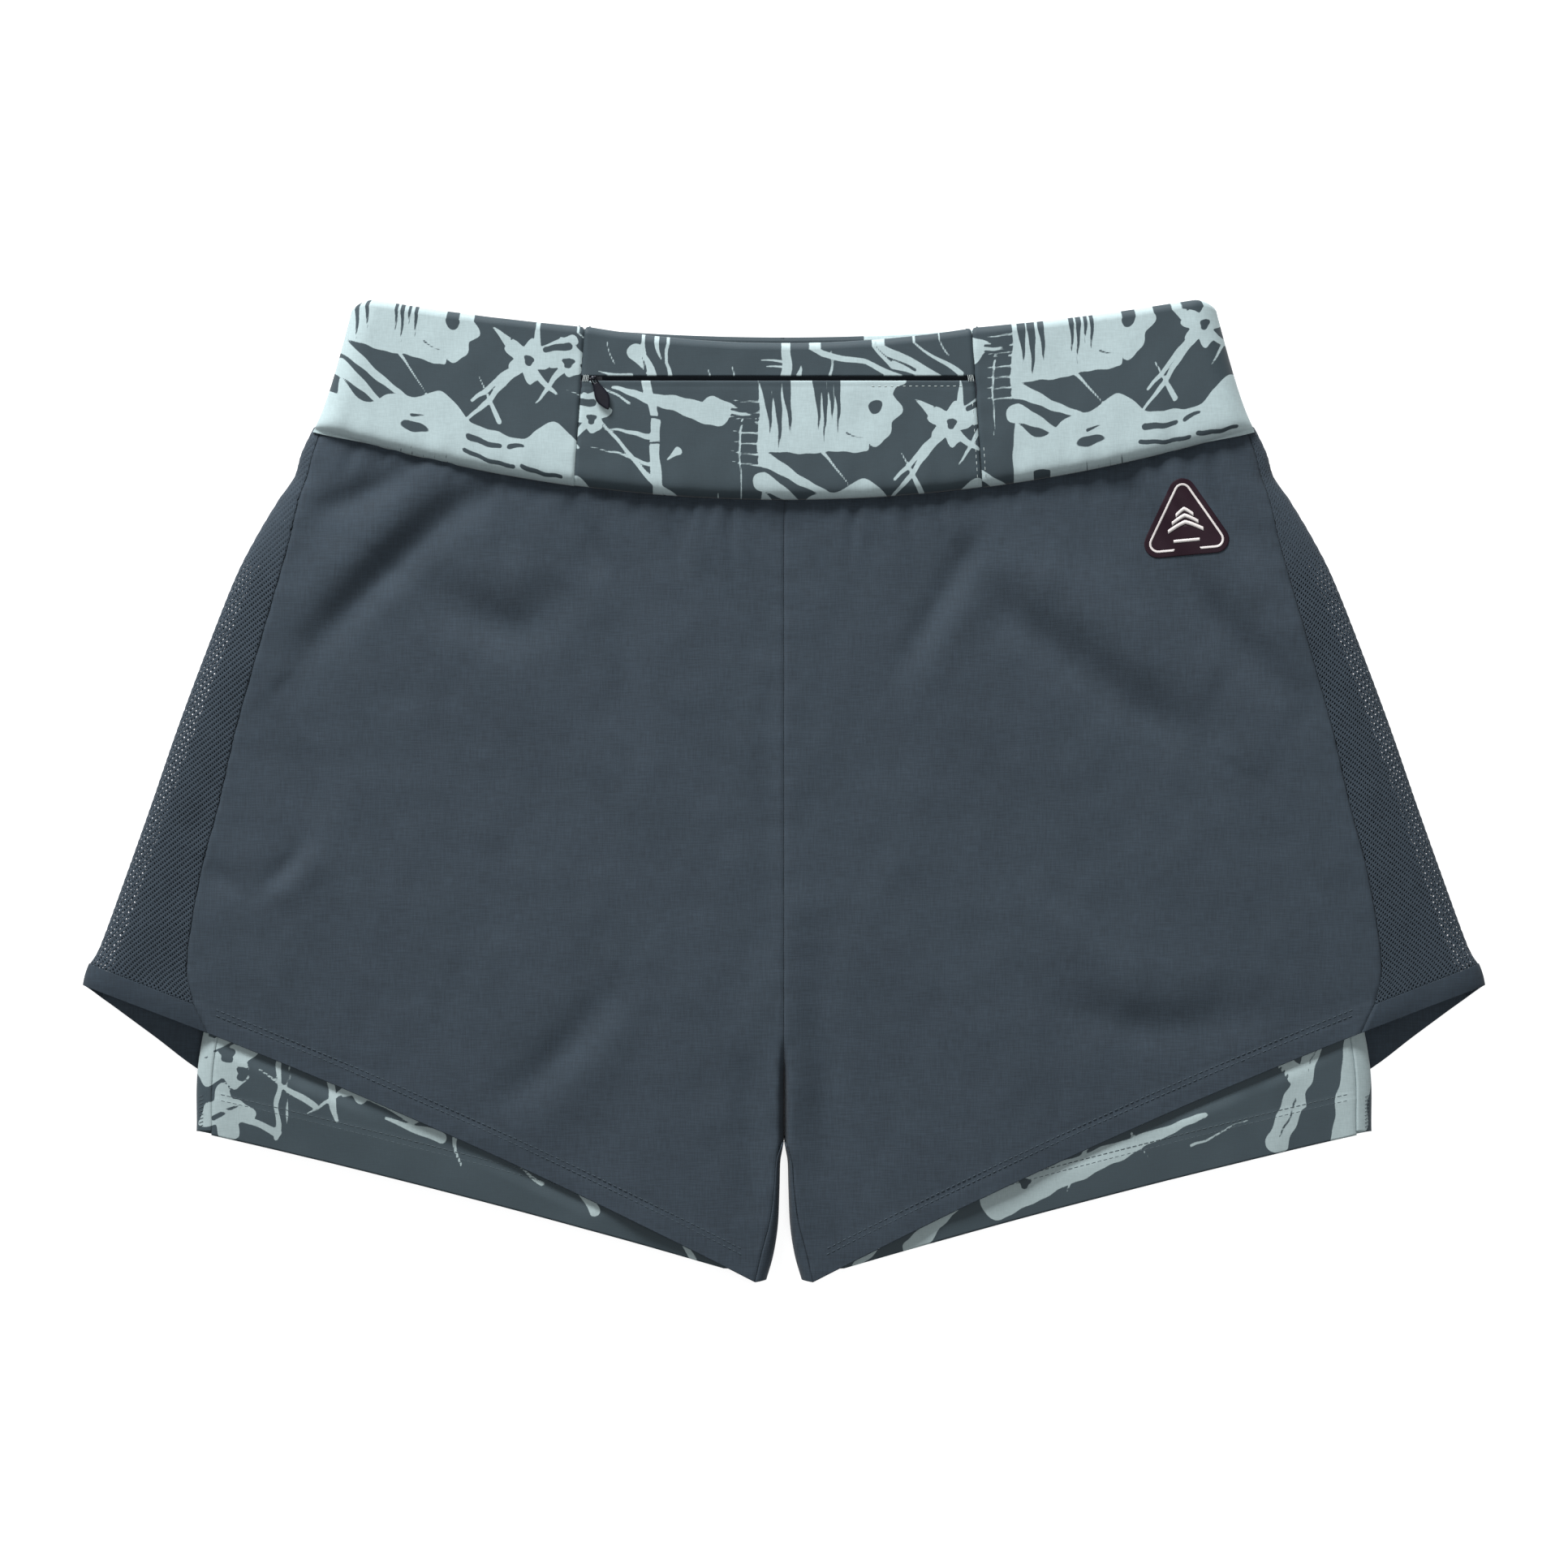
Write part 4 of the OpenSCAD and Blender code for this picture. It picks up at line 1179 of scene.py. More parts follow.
# The light shapes on the strip above the pocket
STRIP_STROKES = [
    (-76, 195, -73.5, 186, 0.4, 0.7), (-61, 198, -60, 190, 0.9, 2.2), (-63.5, 190, -56, 180, 7.5, 3.0),
    (-55, 196, -53, 188, 2.2, 0.8), (-49, 198, -51, 186, 1.5, 1.2), (-51, 186, -48, 178, 1.2, 1.8),
    (-33, 183, -30.5, 178, 0.5, 0.8), (-23, 184, -20.5, 178, 0.5, 0.8), (-10, 187, 1, 186, 0.4, 1.3),
    (-8, 184, 1, 184, 0.4, 1.2), (1.6, 198, 0.6, 178, 3.4, 4.6), (4, 197, 17, 189.5, 1.2, 2.8),
    (17, 189.5, 35, 186, 2.8, 2.2), (35, 186, 53, 178, 2.2, 2.8), (7, 185, 6, 178, 0.4, 3.6),
    (21, 191, 19.5, 178, 0.5, 1.4), (37, 196, 48, 187, 2.0, 8.0), (48, 187, 71, 177.5, 8.0, 2.4),
    (55, 195, 76, 181, 0.6, 2.4), (66, 197, 71, 189, 0.4, 0.8), (-80, 182, -66, 180, 0.4, 2.2),
]
STRIP_SLITS = [
    (44, 189, 56, 182.5, 0.5, 1.3), (39, 194, 46, 187, 0.3, 0.9), (-61, 188, -60, 182, 0.4, 1.4),
]


def strip_field(x, y):
    """How far inside its light shapes each point of the strip above the pocket is."""
    x, y = x + 0.5 * np.sin(y / 2.3), y + 0.35 * np.sin(x / 3.1)
    return -cut(marks(x, y, STRIP_STROKES), marks(x, y, STRIP_SLITS))


def unit(v):
    return v / np.maximum(np.linalg.norm(v, axis=-1, keepdims=True), 1e-9)


def rolled(grid, radius, face=1, turn=math.pi, steps=7):
    """A grid with its last row carried over an edge and down the inside, at the given radius."""
    edge = grid[-1]
    along = unit(edge - grid[-3])
    up = normals(grid)[-2] * face
    up = unit(up - (up * along).sum(1, keepdims=True) * along)
    r = np.broadcast_to(np.asarray(radius, float), len(edge))[:, None]
    angles = np.linspace(0, turn, steps + 1)[1:]
    added = [edge + r * (along * math.sin(a) - up * (1 - math.cos(a))) for a in angles]
    return np.concatenate([grid, added])


def carried_on(field, rows):
    """A field with its last row repeated, for the rows that a roll adds."""
    return np.concatenate([field, np.repeat(field[-1:], rows, 0)])


def band_foot(x):
    """The band's lower edge, which laps over the short's a little more at the sides."""
    return seam_edge(x) - 0.2 - 1.6 * smooth_step(np.abs(x), 180, 203)


def by_seam(to_seam, y, wave, phase=0.0):
    """How the band's face is drawn down at one of the pocket's seams, and puckers beside it."""
    return seam_dip(to_seam, 0.7, 0.7) + 0.12 * np.exp(-to_seam / 5) * np.sin(y / wave + phase)


def band_sides():
    """The band's two sides, each from the pocket's seam round the fold to the centre back."""
    v = shares(72, 0.8, 0.4)[:, None]
    front = shares(112, 0.8, 0.4)[None]
    behind = shares(200, 2.2, 0.5, "low")[None, 1:]
    side = band_side(v)
    for name, sign in SIDES:
        seam_x = pocket_half(v) + sign * POCKET_OFFSET
        x_front = mix(seam_x, side, front)
        y_front = mix(band_foot(x_front), top_edge(x_front) - TOP_FOLD, v)
        z_front = band_front_z(x_front * sign, y_front) + by_seam(x_front - seam_x, y_front, 1.9, sign)
        x_back = mix(side, 0, behind)
        back_roll = mix(TOP_FOLD, BACK_FOLD, smooth_step(side - x_back, 0, BAND_REACH) ** 0.5)
        y_back = mix(band_foot(x_back), top_edge(x_back) - back_roll, v)
        z_back = band_back_z(x_back, y_back)
        halves = (x_front, y_front, z_front), (x_back, y_back, z_back)
        grid = np.concatenate([np.dstack(half) for half in halves], 1)
        radius = np.r_[np.full(x_front.shape[1], TOP_FOLD), back_roll[-1]]
        x, y = grid[..., 0], grid[..., 1]
        flat_x = sign * np.concatenate([x_front, 2 * side - x_back], 1)
        print_x, print_y = flat_x - (LEFT_PRINT_X if sign > 0 else RIGHT_PRINT_X), y - seam_edge(x)
        field = print_field(print_x, print_y)
        if sign < 0:
            field = np.maximum(field, -stroke(print_x, print_y, *RIGHT_EXTRA_STROKE))
        full = rolled(grid, radius)
        field = carried_on(field, len(full) - len(grid))
        rear = np.arange(x.shape[1]) >= x_front.shape[1]
        field[len(grid):, rear] = (sign * x[-1] - REAR_LIGHT_X)[None, rear]
        field = field if sign > 0 else field[:, ::-1]
        cloth(f"band_{name}", for_side(full, sign), PRINT, [f"waistband_side_{name}"], field=field)


LIP = 0.55  # radius of the folded edges at the pocket's mouth


def pocket_front():
    """The band's front between the pocket's seams: a panel below the mouth and a strip above it."""
    u = shares(172, 0.75, 0.4)[None]
    v = shares(52, 0.8, 0.4)[:, None]
    half = pocket_half(MOUTH_SHARE * v)
    x = POCKET_OFFSET + mix(-half, half, u)
    y = mix(seam_edge(x), MOUTH_Y - MOUTH_GAP / 2 - LIP + 0 * x, v)
    z = band_front_z(x, y) + by_seam(half - np.abs(x - POCKET_OFFSET), y, 1.8)
    to_mouth = MOUTH_Y - MOUTH_GAP / 2 - y
    z += 0.10 * np.exp(-to_mouth / 3) * ripple(x, 0 * y, 51, 9, 12, 50) - 0.12 * bell(to_mouth - 2.6, 0.6)
    field = print_field(x - PANEL_PRINT[0], y - seam_edge(x) + PANEL_PRINT[1])
    grid = np.stack([x, y, z], -1)
    full = rolled(grid, LIP)
    field = carried_on(field, len(full) - len(grid))
    cloth("pocket_panel", full, PRINT, ["waistband_pocket_panel"], 0.4, field=field)

    v = shares(17, 0.7, 0.4)[:, None]
    half = mix(MOUTH_HALF, POCKET_TOP_HALF, v)
    x = POCKET_OFFSET + mix(-half, half, u)
    y = mix(MOUTH_Y + MOUTH_GAP / 2 + LIP, front_top_edge(x) - TOP_FOLD, v)
    z = band_front_z(x, y) + seam_dip(half - np.abs(x - POCKET_OFFSET), 0.7, 0.7)
    to_mouth = y - MOUTH_Y - MOUTH_GAP / 2
    z += 0.12 + 0.10 * np.exp(-to_mouth / 3) * ripple(x, 0 * y, 52, 9, 10, 40)
    grid = np.stack([x, y, z], -1)
    lower = rolled(grid[::-1], LIP, face=-1)
    added = len(lower) - len(grid)
    full = rolled(lower[::-1], TOP_FOLD)
    field = carried_on(strip_field(x, y)[::-1], added)[::-1]
    field = carried_on(field, len(full) - len(lower))
    cloth("pocket_strip", full, PRINT, ["waistband_upper_front"], 0.4, field=field)


def band_ring(inset, z_span, foot, head, columns, rows):
    """A ring inside the waistband, as a grid whose columns run round it."""
    half, middle = (z_span[1] - z_span[0]) / 2, (z_span[1] + z_span[0]) / 2
    v = np.linspace(0, 1, rows)[:, None]
    wide = band_side(v) - inset - half
    bend = np.linspace(math.pi / 2, -math.pi / 2, 13)[None, 1:-1]
    run = np.linspace(-1, 1, columns)[None]
    out, up = half * np.cos(bend), half * np.sin(bend)
    x = np.concatenate([wide * run, wide + out, -wide * run, -wide - out], 1)
    around = [half + 0 * run, up, -half + 0 * run, -up]
    z = middle + np.ones_like(v) * np.concatenate(around, 1)
    ahead = (z - z_span[0]) / (z_span[1] - z_span[0])
    top = mix(top_edge(x) - BACK_FOLD, front_top_edge(x) - TOP_FOLD, ahead) + head
    return np.stack([x, mix(seam_edge(x) + foot, top, v), z], -1)


def band_lining():
    z0, z1 = span("waist_facing", 2)
    grid = band_ring(4.8, (z0 + 0.15, z1 - 0.1), 0.8, 0.2, 150, 60)
    x, y = grid[..., 0], grid[..., 1]
    below = top_edge(x) - y
    deep = print_field(x - 8.6, y - seam_edge(x) - 20)
    field = mix(x - REAR_LIGHT_X, deep, smooth_step(below, 9, 9.5))
    cloth("band_facing", grid, PRINT, ["waist_facing"], 0.5, loop=True, field=field)
    grid = band_ring(3.4, span("waist_elastic", 2), 3.5, -4.0, 120, 44)
    y = grid[..., 1] - seam_edge(grid[..., 0])
    grid = grid + normals(grid) * (0.14 * np.sin(y * 2 * math.pi / 5.2))[..., None]
    cloth("band_elastic", grid, ELASTIC, ["waist_elastic"], 0.8, loop=True)


def care_label():
    y0, y1 = span("care_label", 1)
    x, y = np.meshgrid(np.linspace(*span("care_label", 0), 22), np.linspace(y0, y1, 26))
    curl = ((y1 - y) / (y1 - y0)) ** 3
    z = low("care_label", 2) + 0.25 + curl * (1.1 + 0.5 * np.sin(x / 6)) + 0.06 * ripple(x, y, 61, 6, 12, 30)
    cloth("label", np.stack([x, y, z], -1), LABEL, ["care_label"], 0.2)


# --- Pocket and zip ---------------------------------------------------------------------------
def pocket_bags():
    for node, sign in (("pocket_bag_back", 1), ("pocket_bag_front", -1)):
        (x0, x1), (y0, y1) = span(node, 0), span(node, 1)
        half, middle = (x1 - x0) / 2, (x0 + x1) / 2
        x, y = np.meshgrid(np.linspace(x0, x1, 90), np.linspace(y0, y1, 34))
        inset = 7 * (1 - ellipse(y - y0, 9))
        x = middle + (x - middle) * (1 - inset / half)
        rim = np.minimum(y - y0, half - inset - np.abs(x - middle))
        z = sum(span(node, 2)) / 2 + sign * 1.3 * np.exp(-np.clip(rim, 0, None) / 3)
        z += 0.08 * ripple(x, y, 71 + sign, 9, 14, 50)
        grid = np.stack([x, y, z], -1)
        cloth(node.replace("_bag_", "_sack_"), grid, POCKETING, [node], 0.25)


def merged(bodies):
    """Several (vertices, faces) as one."""
    verts, faces, first = [], [], 0
    for v, f in bodies:
        verts.append(np.asarray(v, float))
        faces += [tuple(first + int(i) for i in face) for face in f]
        first += len(v)
    return np.vstack(verts), faces


def lofted(rings, closed=False):
    """Vertices and faces of a body through rings of as many points, capped or closed on itself."""
    n, count = len(rings[0]), len(rings)
    faces = []
    for i in range(count if closed else count - 1):
        a, b = i * n, (i + 1) % count * n
        faces += [(a + j, a + (j + 1) % n, b + (j + 1) % n, b + j) for j in range(n)]
    if not closed:
        faces += [tuple(range(n))[::-1], tuple(range((count - 1) * n, count * n))]
    return np.vstack(rings), faces


def any_mesh(name, body):
    verts, faces = body
    mesh = bpy.data.meshes.new(name)
    mesh.from_pydata([tuple(v * MM) for v in verts], [], faces)
    mesh.polygons.foreach_set("use_smooth", [len(f) == 4 for f in faces])
    mesh.validate()
    return mesh


def capsules(ends, width, height, up=(0, 0, 1)):
    """Rounded little bars between pairs of points: stitches, or a zip's teeth."""
    angles = np.linspace(0, 2 * math.pi, 8, endpoint=False)
    bodies = []
    for a, b in ends:
        a, b = np.asarray(a, float), np.asarray(b, float)
        along = unit(b - a)
        across = unit(np.cross(np.asarray(up, float), along))
        rise = np.cross(along, across)
        rings = []
        for share, size in ((0, 0.35), (0.08, 0.8), (0.22, 1), (0.78, 1), (0.92, 0.8), (1, 0.35)):
            ring = np.outer(np.cos(angles), across) * width / 2 + np.outer(np.sin(angles), rise) * height / 2
            rings.append(a + (b - a) * share + ring * size)
        bodies.append(lofted(rings))
    return merged(bodies)


TOOTH_PITCH = 1.25


def zip_parts():
    for side, row in ((1, "upper"), (-1, "lower")):
        tape, teeth = f"zip_tape_{row}", f"zip_teeth_{row}"
        x, y = np.meshgrid(np.linspace(*span(tape, 0), 160), np.linspace(*span(tape, 1), 14))
        z = high(tape, 2) - 0.05 + 0.04 * ripple(x, y, 81, 8, 5, 30)
        cloth(f"zip_ribbon_{row}", np.stack([x, y, z], -1), TAPE, [tape], 0.3)
        (x0, x1), (y0, y1), (z0, z1) = (span(teeth, axis) for axis in range(3))
        first = x0 + (0 if side > 0 else TOOTH_PITCH / 2)
        at = [first + TOOTH_PITCH * k for k in range(int((x1 - x0) / TOOTH_PITCH))]
        ends = [((x, y0, (z0 + z1) / 2), (x, y1, (z0 + z1) / 2)) for x in at]
        coil = any_mesh(teeth, capsules(ends, 0.85, z1 - z0))
        piece(f"zip_coil_{row}", coil, TEETH, [teeth])
    (x0, x1), (y0, y1), (z0, z1) = (span("zip_stops", axis) for axis in range(3))
    ends = [((x, y0, (z0 + z1) / 2), (x, y1, (z0 + z1) / 2)) for x in (x0 + 0.6, x1 - 0.6)]
    stops = any_mesh("zip_end_stops", capsules(ends, 1.2, z1 - z0))
    piece("zip_end_stops", stops, TEETH, ["zip_stops"])


def rounded_box(x_span, y_span, z_span, r, corner, steps=5):
    """A box with rounded upright edges of radius corner, and its rims rounded by r."""
    size = np.array([x_span[1] - x_span[0], y_span[1] - y_span[0]])
    centre = np.array([sum(x_span), sum(y_span)]) / 2
    outline = []
    for k, signs in enumerate(((1, 1), (-1, 1), (-1, -1), (1, -1))):
        for a in np.linspace(k * math.pi / 2, (k + 1) * math.pi / 2, steps):
            arc = corner * np.array([math.cos(a), math.sin(a)])
            outline.append(np.array(signs) * (size / 2 - corner) + arc)
    rings = []
    for z, side, angles in ((z_span[0], 1, (0, math.pi / 2)), (z_span[1], -1, (math.pi / 2, 0))):
        for a in np.linspace(*angles, 4):
            xy = np.array(outline) * (1 - 2 * r * (1 - math.sin(a)) / size) + centre
            rings.append(np.column_stack([xy, np.full(len(xy), z + side * r * (1 - math.cos(a)))]))
    return lofted(rings)


PULLER_TURN = math.radians(-64)
EYE_R, EYE_BORE, EYE_W = 1.1, 0.62, 1.2
PIN_R, PIN_HALF = 0.55, 1.42
PLATE_T, FLANGE_H, FLANGE_W = 0.7, 1.6, 0.6


def at_pivot(points):
    """Points of the puller's own frame, which lies along +X from its hinge, set in the garment's."""
    c, s = math.cos(PULLER_TURN), math.sin(PULLER_TURN)
    p = np.asarray(points, float)
    x, y = p[:, 0] * c - p[:, 1] * s, p[:, 0] * s + p[:, 1] * c
    return np.column_stack([x + PIVOT_X, y + MOUTH_Y, p[:, 2] + PIVOT_Z])


def round_bar(a, b, radius, n=20, bevel=0.12):
    """A cylinder from a to b with its two rims bevelled."""
    a, b = np.asarray(a, float), np.asarray(b, float)
    along = unit(b - a)
    helper = np.array([0, 0, 1.0]) if abs(along[2]) < 0.9 else np.array([1.0, 0, 0])
    across = unit(np.cross(helper, along))
    rise = np.cross(along, across)
    angles = np.linspace(0, 2 * math.pi, n, endpoint=False)
    ring = np.outer(np.cos(angles), across) + np.outer(np.sin(angles), rise)
    stops = (a, a + along * bevel, b - along * bevel, b)
    radii = (radius - bevel, radius, radius, radius - bevel)
    return lofted([at + ring * r for at, r in zip(stops, radii)])


def bulged(value, power):
    """A sine or cosine raised to a power, with its sign kept: it squares off a round section."""
    return abs(value) ** power * math.copysign(1, value)


def circle(count):
    """Cosine and sine of evenly spaced angles."""
    return [(math.cos(a), math.sin(a)) for a in np.linspace(0, 2 * math.pi, count, endpoint=False)]


def zip_head():
    """The slider: a plate with two flanges, and on it a post and the eye for the pull."""
    (x0, x1), (y0, y1) = span("zip_slider", 0), span("zip_slider", 1)
    z0 = low("zip_slider", 2)
    bodies = [rounded_box((x0, x1), (y0, y1), (z0, z0 + PLATE_T), 0.18, 1.4)]
    for edge in (y0, y1 - FLANGE_W):
        sides = (x0 + 0.5, x1 - 0.5), (edge, edge + FLANGE_W), (z0 + 0.2, z0 + FLANGE_H)
        bodies.append(rounded_box(*sides, 0.15, 0.25))
    foot, head = z0 + PLATE_T / 2, PIVOT_Z - EYE_BORE - 0.2
    bodies.append(round_bar((PIVOT_X, MOUTH_Y, foot), (PIVOT_X, MOUTH_Y, head), 0.5))
    middle, thick = (EYE_R + EYE_BORE) / 2, (EYE_R - EYE_BORE) / 2
    rings = []
    for x, z in circle(32):
        section = []
        for c, s in circle(12):
            r = middle + thick * bulged(c, 0.6)
            section.append((r * x, EYE_W / 2 * bulged(s, 0.6), r * z))
        rings.append(at_pivot(section))
    bodies.append(lofted(rings, closed=True))
    body = any_mesh("zip_head", merged(bodies))
    piece("zip_head", body, SLIDER_PAINT, ["zip_slider"], "zip_slider")


# Half the pull's width at distances from its hinge
LEAF_START, LEAF_END = 2.2, 15.05
LEAF = [
    (LEAF_START, 1.2), (3.0, 1.45), (5.0, 2.1), (7.4, 2.8), (9.6, 3.0), (11.6, 2.45), (13.4, 1.45),
    (14.6, 0.62), (LEAF_END, 0.12),
]


def pull_drop():
    """The rubber drop: a pin through the eye, a fork round it and a leaf-shaped body."""
    outline = Path(LEAF)
    rings = []
    for share in np.linspace(0, 1, 34):
        u, w = outline(share)
        full = 0.75 * min(1.0, 0.35 + 1.4 * (u - LEAF_START), 0.25 + 1.6 * (LEAF_END - u)) ** 0.5
        section = []
        for c, s in circle(24):
            dish = 0.14 * full * max(0.0, 1 - abs(c) * 1.7) * (4.5 < u < 12.5)
            height = full * abs(s) ** 0.7 - dish
            section.append((u, w * bulged(c, 0.75), height * math.copysign(1, s)))
        rings.append(at_pivot(section))
    bodies = [lofted(rings)]
    open_by = 0.6
    angles = np.linspace(open_by, 2 * math.pi - open_by, 14)
    profile = [(2.9, 0.62), *[(0.74 * math.cos(a), 0.74 * math.sin(a)) for a in angles], (2.9, -0.62)]
    for y in (-1.1, 1.1):
        layers = [[(a, y + w, b) for a, b in profile] for w in (-0.34, -0.28, 0.28, 0.34)]
        bodies.append(lofted([at_pivot(layer) for layer in layers]))
    bodies.append(round_bar(*at_pivot([(0, -PIN_HALF, 0), (0, PIN_HALF, 0)]), PIN_R))
    piece("pull_drop", any_mesh("pull_drop", merged(bodies)), RUBBER, ["zip_puller"], "zip_puller")


# --- Badge ------------------------------------------------------------------------------------
BADGE = (173, 116.2)
BADGE_TILT = 5
BADGE_R = 14.2
BADGE_CORNER = 6
BADGE_INSET = 2.2
BADGE_LINE = 0.95
BADGE_STEPS = (0, 0.12, 0.5, 1.2, 2.2, 3.2, 4.2, 5.2, 5.9)  # in from its edge


def badge_outline(corner, first=-90.0, sweep=360.0, steps=96):
    """The badge's rounded triangle, grown by corner, from a direction in degrees and round."""
    corners = [(BADGE_R * math.cos(a), BADGE_R * math.sin(a)) for a in np.radians((90, 210, 330))]
    made = []
    for a in np.radians(first + np.linspace(0, sweep, steps)):
        d = np.array([math.cos(a), math.sin(a)])
        reach = [c[0] * d[0] + c[1] * d[1] for c in corners]
        # the ray from the centre ends at the nearest side, or on a corner's arc if it meets one
        far = 1e9
        for k in np.radians((30, 150, 270)):
            facing = d[0] * math.cos(k) + d[1] * math.sin(k)
            if facing > 1e-6:
                far = min(far, (BADGE_R / 2 + corner) / facing)
        for (cx, cy), r in zip(corners, reach):
            off = math.hypot(cx, cy) ** 2 - r * r
            if off < corner * corner:
                hit = r + math.sqrt(corner * corner - off)
                arc = math.degrees(math.atan2(hit * d[1] - cy, hit * d[0] - cx) - math.atan2(cy, cx))
                if abs((arc + 180) % 360 - 180) <= 60.5:
                    far = min(far, hit)
        made.append(d * far)
    return np.array(made)


def on_badge(points, lift):
    """Points of the badge's own plane, laid on the short's front and lifted off it."""
    c, s = math.cos(math.radians(BADGE_TILT)), math.sin(math.radians(BADGE_TILT))
    p = np.asarray(points, float)
    x = BADGE[0] + p[..., 0] * c - p[..., 1] * s
    y = BADGE[1] + p[..., 0] * s + p[..., 1] * c
    return np.stack([x, y, outer_front_z(x, y) + lift], -1)


def badge():
    count = 120
    grown = [badge_outline(BADGE_CORNER - d, steps=count + 1)[:-1] for d in BADGE_STEPS]
    shrunk = [grown[-1] * k for k in (0.85, 0.7, 0.55, 0.4, 0.25, 0.12, 0.01)]
    grid = on_badge(np.array(grown + shrunk), 0.42)
    grid[0, :, 2] -= 0.16
    grid[1, :, 2] -= 0.03
    cloth("badge_film", grid, MAROON, ["badge_patch"], 0.3, loop=True)
    # a line inside the edge, open below; then three chevrons and a bar
    line_edge = BADGE_CORNER - BADGE_INSET
    lines = [np.array([badge_outline(line_edge - d, -62, 304, 110) for d in (0, 0.25, 0.5, BADGE_LINE)])]
    t = np.linspace(-1, 1, 41)
    for k in range(3):
        half, rise = 7.6 - 1.9 * k, 3.3 * k - 1.5
        peak = 3.6 * (1 - np.abs(t) ** 1.25) * (1 - 0.12 * k)
        lines.append(np.array([np.column_stack([t * half, rise + peak - w * 1.7]) for w in (0, 0.5, 1)]))
    t = np.linspace(-5.6, 5.6, 30)
    lines.append(np.array([np.column_stack([t, -6.0 - w + 0 * t]) for w in (0, 0.65, 1.3)]))
    bodies = []
    for line in lines:
        grid = on_badge(line, 0.56)
        bodies.append(two_skins(grid if normals(grid)[0, 0, 2] > 0 else grid[::-1], 0.12))
    print_mesh = any_mesh("badge_marks", merged(bodies))
    piece("badge_marks", print_mesh, BADGE_WHITE, ["badge_print"])


# --- Stitching --------------------------------------------------------------------------------
def along_line(x, y, z_of, lift):
    """Points of a line on a face, lifted off it."""
    return np.stack([x, y, z_of(x, y) + lift], -1)


def dashes(line, stitch, gap, start=0.0):
    """The ends of stitches spaced along a line of points."""
    path = Path(line, smooth=False)
    at = np.arange(start, path.length - stitch, stitch + gap)
    return list(zip(path(at / path.length), path((at + stitch) / path.length)))


def short_stitch(a, b, z_of, lift_a, lift_b):
    """The ends of one stitch from a to b, lifted off the cloth's face."""
    return (*a, float(z_of(*np.array(a))) + lift_a), (*b, float(z_of(*np.array(b))) + lift_b)


def sewn(name, ends, width, height, thread):
    piece(name, any_mesh(name, capsules(ends, width, height)), thread)


def hem_stitching():
    ends = []
    x = np.linspace(18, BAND_FRONT_HEM[0] - 2, 400)
    for sign in (1, -1):
        for row in HEM_NEEDLES:
            line = along_line(sign * x, front_hem(x) + row / HEM_SLOPE, hem_top, 0.02)
            ends += dashes(line, 1.6, 0.9, row % 1)
    sewn("hem_stitching", ends, 0.46, 0.42, THREAD)
    ends = []
    x = np.linspace(30, 244, 360)
    for sign in (1, -1):
        for row in (INNER_HEM_DEPTH - 2.6, INNER_HEM_DEPTH):
            ends += dashes(along_line(sign * x, inner_hem(x) + row, inner_top, 0.02), 1.9, 0.7)
    sewn("inner_hem_stitching", ends, 0.36, 0.26, INNER_THREAD)


def band_stitching():
    """Stitches beside the pocket's seam and below its mouth, and a bar tack at each of its ends."""
    ends = []
    s = np.linspace(0.06, 0.56, 60)
    for offset, run in ((-1.9, s), (1.6, s[:26])):
        x = pocket_half(run) + POCKET_OFFSET + offset
        ends += dashes(along_line(x, mix(seam_edge(x), top_edge(x), run), band_front_z, 0.0), 1.5, 1.3)
    for x0, sign in ((POCKET_OFFSET - MOUTH_HALF, 1), (POCKET_OFFSET + MOUTH_HALF, -1)):
        for k in range(4):
            a = (x0 + sign * (0.5 + 0.7 * k), MOUTH_Y - 1.5)
            b = (x0 + sign * (1.0 + 0.7 * k), MOUTH_Y + 1.5)
            ends.append(short_stitch(a, b, band_front_z, 0.22, 0.3))
    x = np.linspace(POCKET_OFFSET - MOUTH_HALF + 4, POCKET_OFFSET + MOUTH_HALF - 5, 200)[150:]
    ends += dashes(along_line(x, MOUTH_Y - 3.4 + 0 * x, band_front_z, 0.0), 1.2, 1.5)
    sewn("band_stitching", ends, 0.3, 0.24, PALE_THREAD)


def inner_seam_threads():
    """Short stitches across the inner short's side seams."""
    ends = []
    for sign in (1, -1):
        for k in range(9):
            y = -143.5 + 1.6 * k
            x = sign * (float(inner_side(y)) - 2.2)
            ends.append(short_stitch((x - 0.9, y), (x + 0.9, y + 0.8), inner_front_z, 0.12, 0.12))
    sewn("inner_seam_threads", ends, 0.34, 0.26, INNER_THREAD)


def hem_top(x, y):
    """Height of the outer hem's face, which is doubled."""
    return outer_front_z(x, y) + 0.1


def inner_top(x, y):
    return under_outer(x, y, inner_front_z(x, y) + 0.1)


# --- Floor, light and camera ------------------------------------------------------------------
VIEW_W = 676.2 * MM
VIEW_Y = 4.55 * MM
CAMERA_Z = 3.0
SENSOR = 36.0
FLOOR_HALF = 6.0


def make_camera():
    data = bpy.data.cameras.new("camera")
    data.sensor_width = SENSOR
    data.lens = SENSOR * (CAMERA_Z - LEG_H * MM) / VIEW_W
    data.clip_end = 20
    camera = bpy.data.objects.new("camera", data)
    camera.location = (0, VIEW_Y, CAMERA_Z)
    bpy.context.scene.collection.objects.link(camera)
    bpy.context.scene.camera = camera


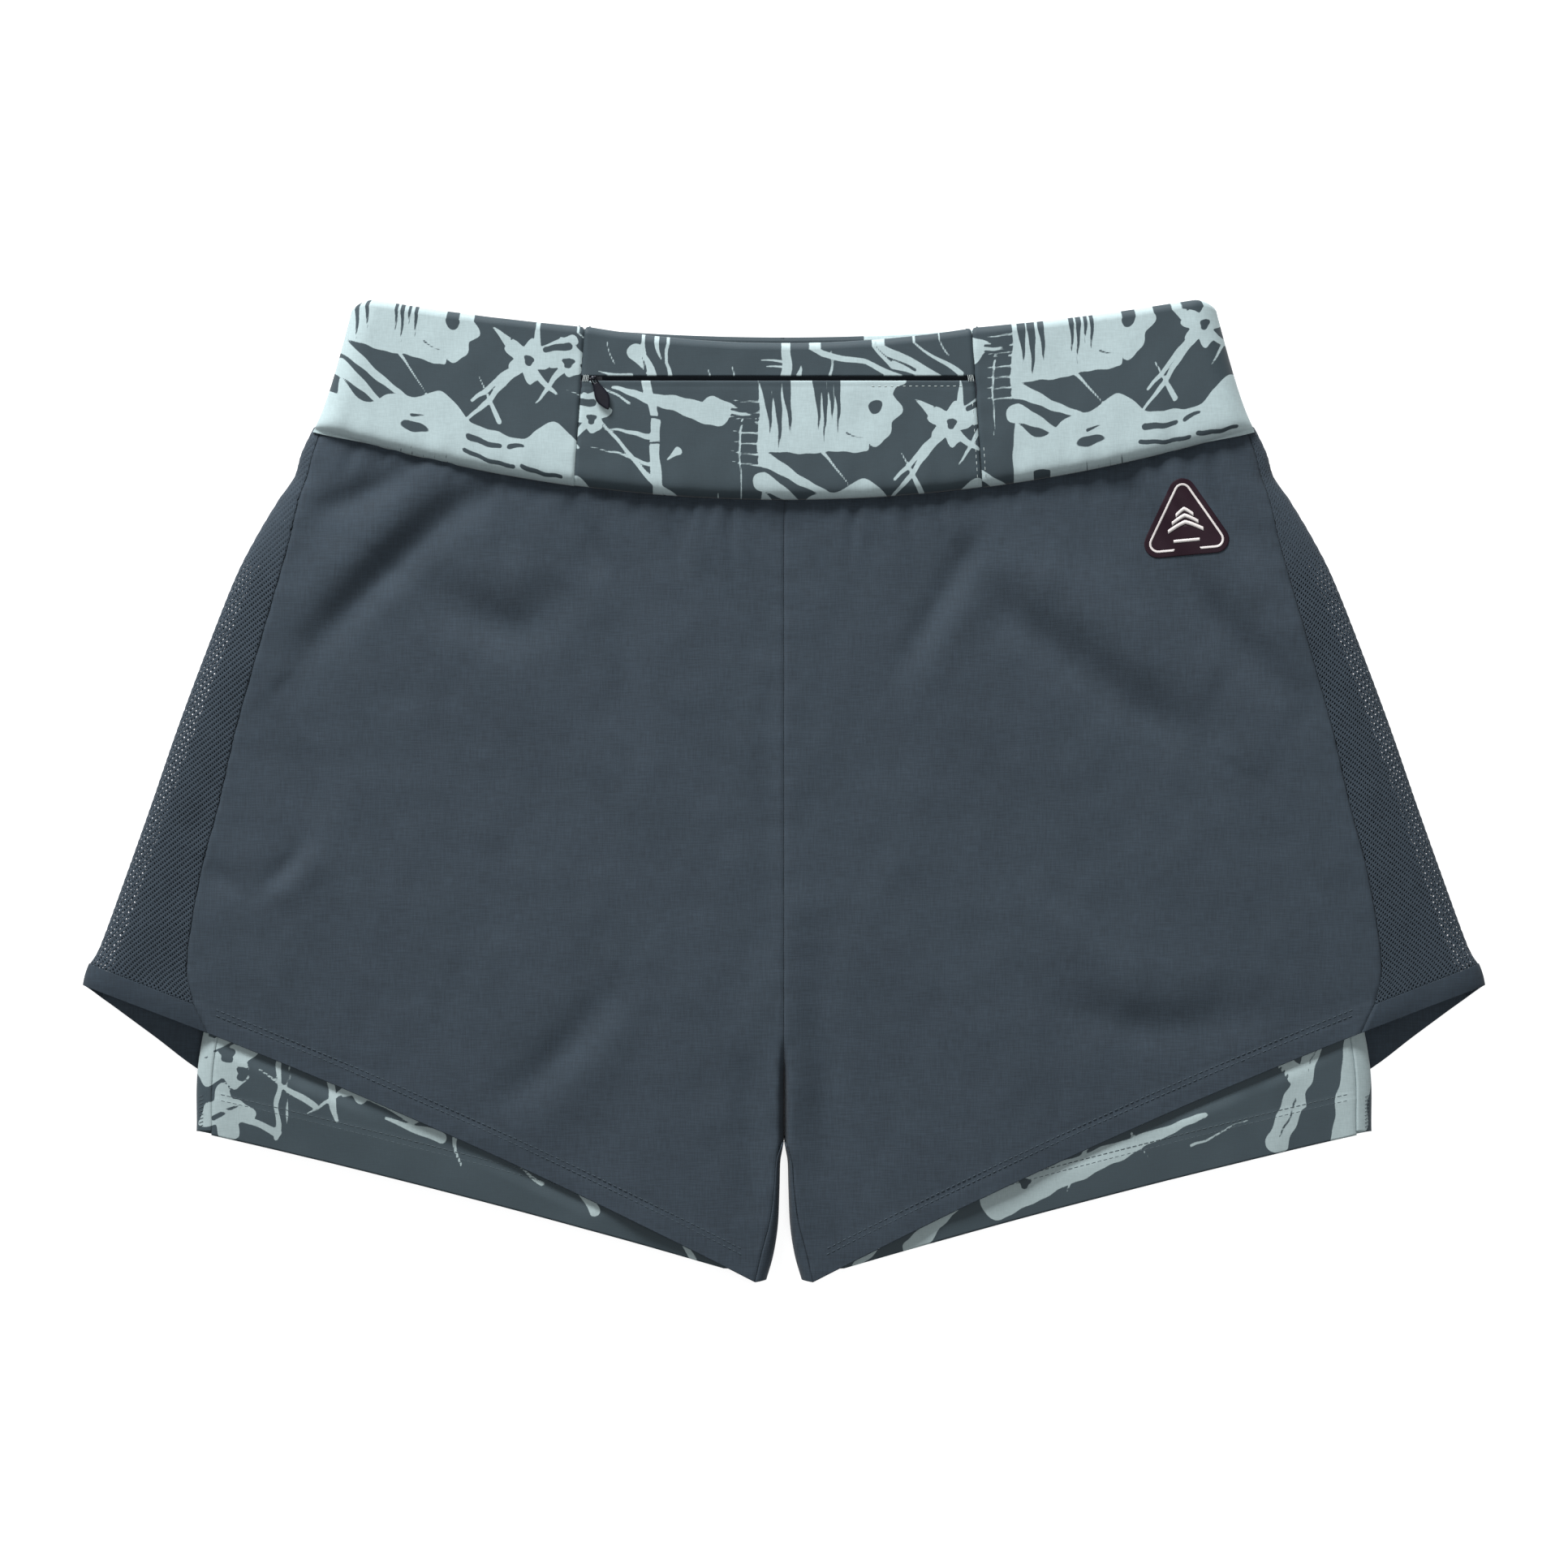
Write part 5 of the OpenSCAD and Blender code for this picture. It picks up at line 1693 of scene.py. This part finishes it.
def make_floor():
    mesh = bpy.data.meshes.new("floor")
    corners = [(FLOOR_HALF * x, FLOOR_HALF * y, 0) for x, y in ((-1, -1), (1, -1), (1, 1), (-1, 1))]
    mesh.from_pydata(corners, [], [(0, 1, 2, 3)])
    floor = bpy.data.objects.new("floor", mesh)
    floor.location.z = -0.0002
    s = Shader("floor_white")
    # it glows a little, as a lit table does, so that shadows on it stay faint
    mesh.materials.append(
        s.set(
            Base_Color=(0.5, 0.5, 0.5, 1), Roughness=0.9, Specular_IOR_Level=0.1,
            Emission_Color=(1, 1, 1, 1), Emission_Strength=0.8,
        )
    )
    bpy.context.scene.collection.objects.link(floor)


def area_light(name, at, size, power):
    """A rectangular light that faces the middle of the garment."""
    data = bpy.data.lights.new(name, "AREA")
    data.shape, data.energy = "RECTANGLE", power
    data.size, data.size_y = size
    light = bpy.data.objects.new(name, data)
    light.location = at
    light.rotation_mode = "QUATERNION"
    light.rotation_quaternion = light.location.to_track_quat("Z", "Y")
    bpy.context.scene.collection.objects.link(light)


def make_light():
    world = bpy.data.worlds.new("studio")
    world.use_nodes = True
    nodes, links = world.node_tree.nodes, world.node_tree.links
    background = nodes["Background"]
    background.inputs[0].default_value = (0.97, 0.985, 1.0, 1)
    # what the camera sees behind the floor is as pale as the floor
    seen = nodes.new("ShaderNodeLightPath").outputs["Is Camera Ray"]
    strength = nodes.new("ShaderNodeMapRange")
    links.new(seen, strength.inputs["Value"])
    strength.inputs["To Min"].default_value = 0.24
    strength.inputs["To Max"].default_value = 0.95
    links.new(strength.outputs[0], background.inputs[1])
    bpy.context.scene.world = world
    area_light("key", (-1.1, 2.75, 1.38), (1.7, 0.8), 200)
    area_light("fill", (0.3, -0.3, 2.8), (1.2, 1.2), 20)
    bpy.context.scene.view_settings.view_transform = "Standard"


make_camera()
make_floor()
make_light()
outer_fronts()
outer_backs()
for side_name, side_sign in SIDES:
    mesh_side(side_name, side_sign)
side_hem_bands()
gussets()
inner_fronts()
inner_backs()
band_sides()
pocket_front()
band_lining()
care_label()
pocket_bags()
zip_parts()
zip_head()
pull_drop()
badge()
hem_stitching()
band_stitching()
inner_seam_threads()
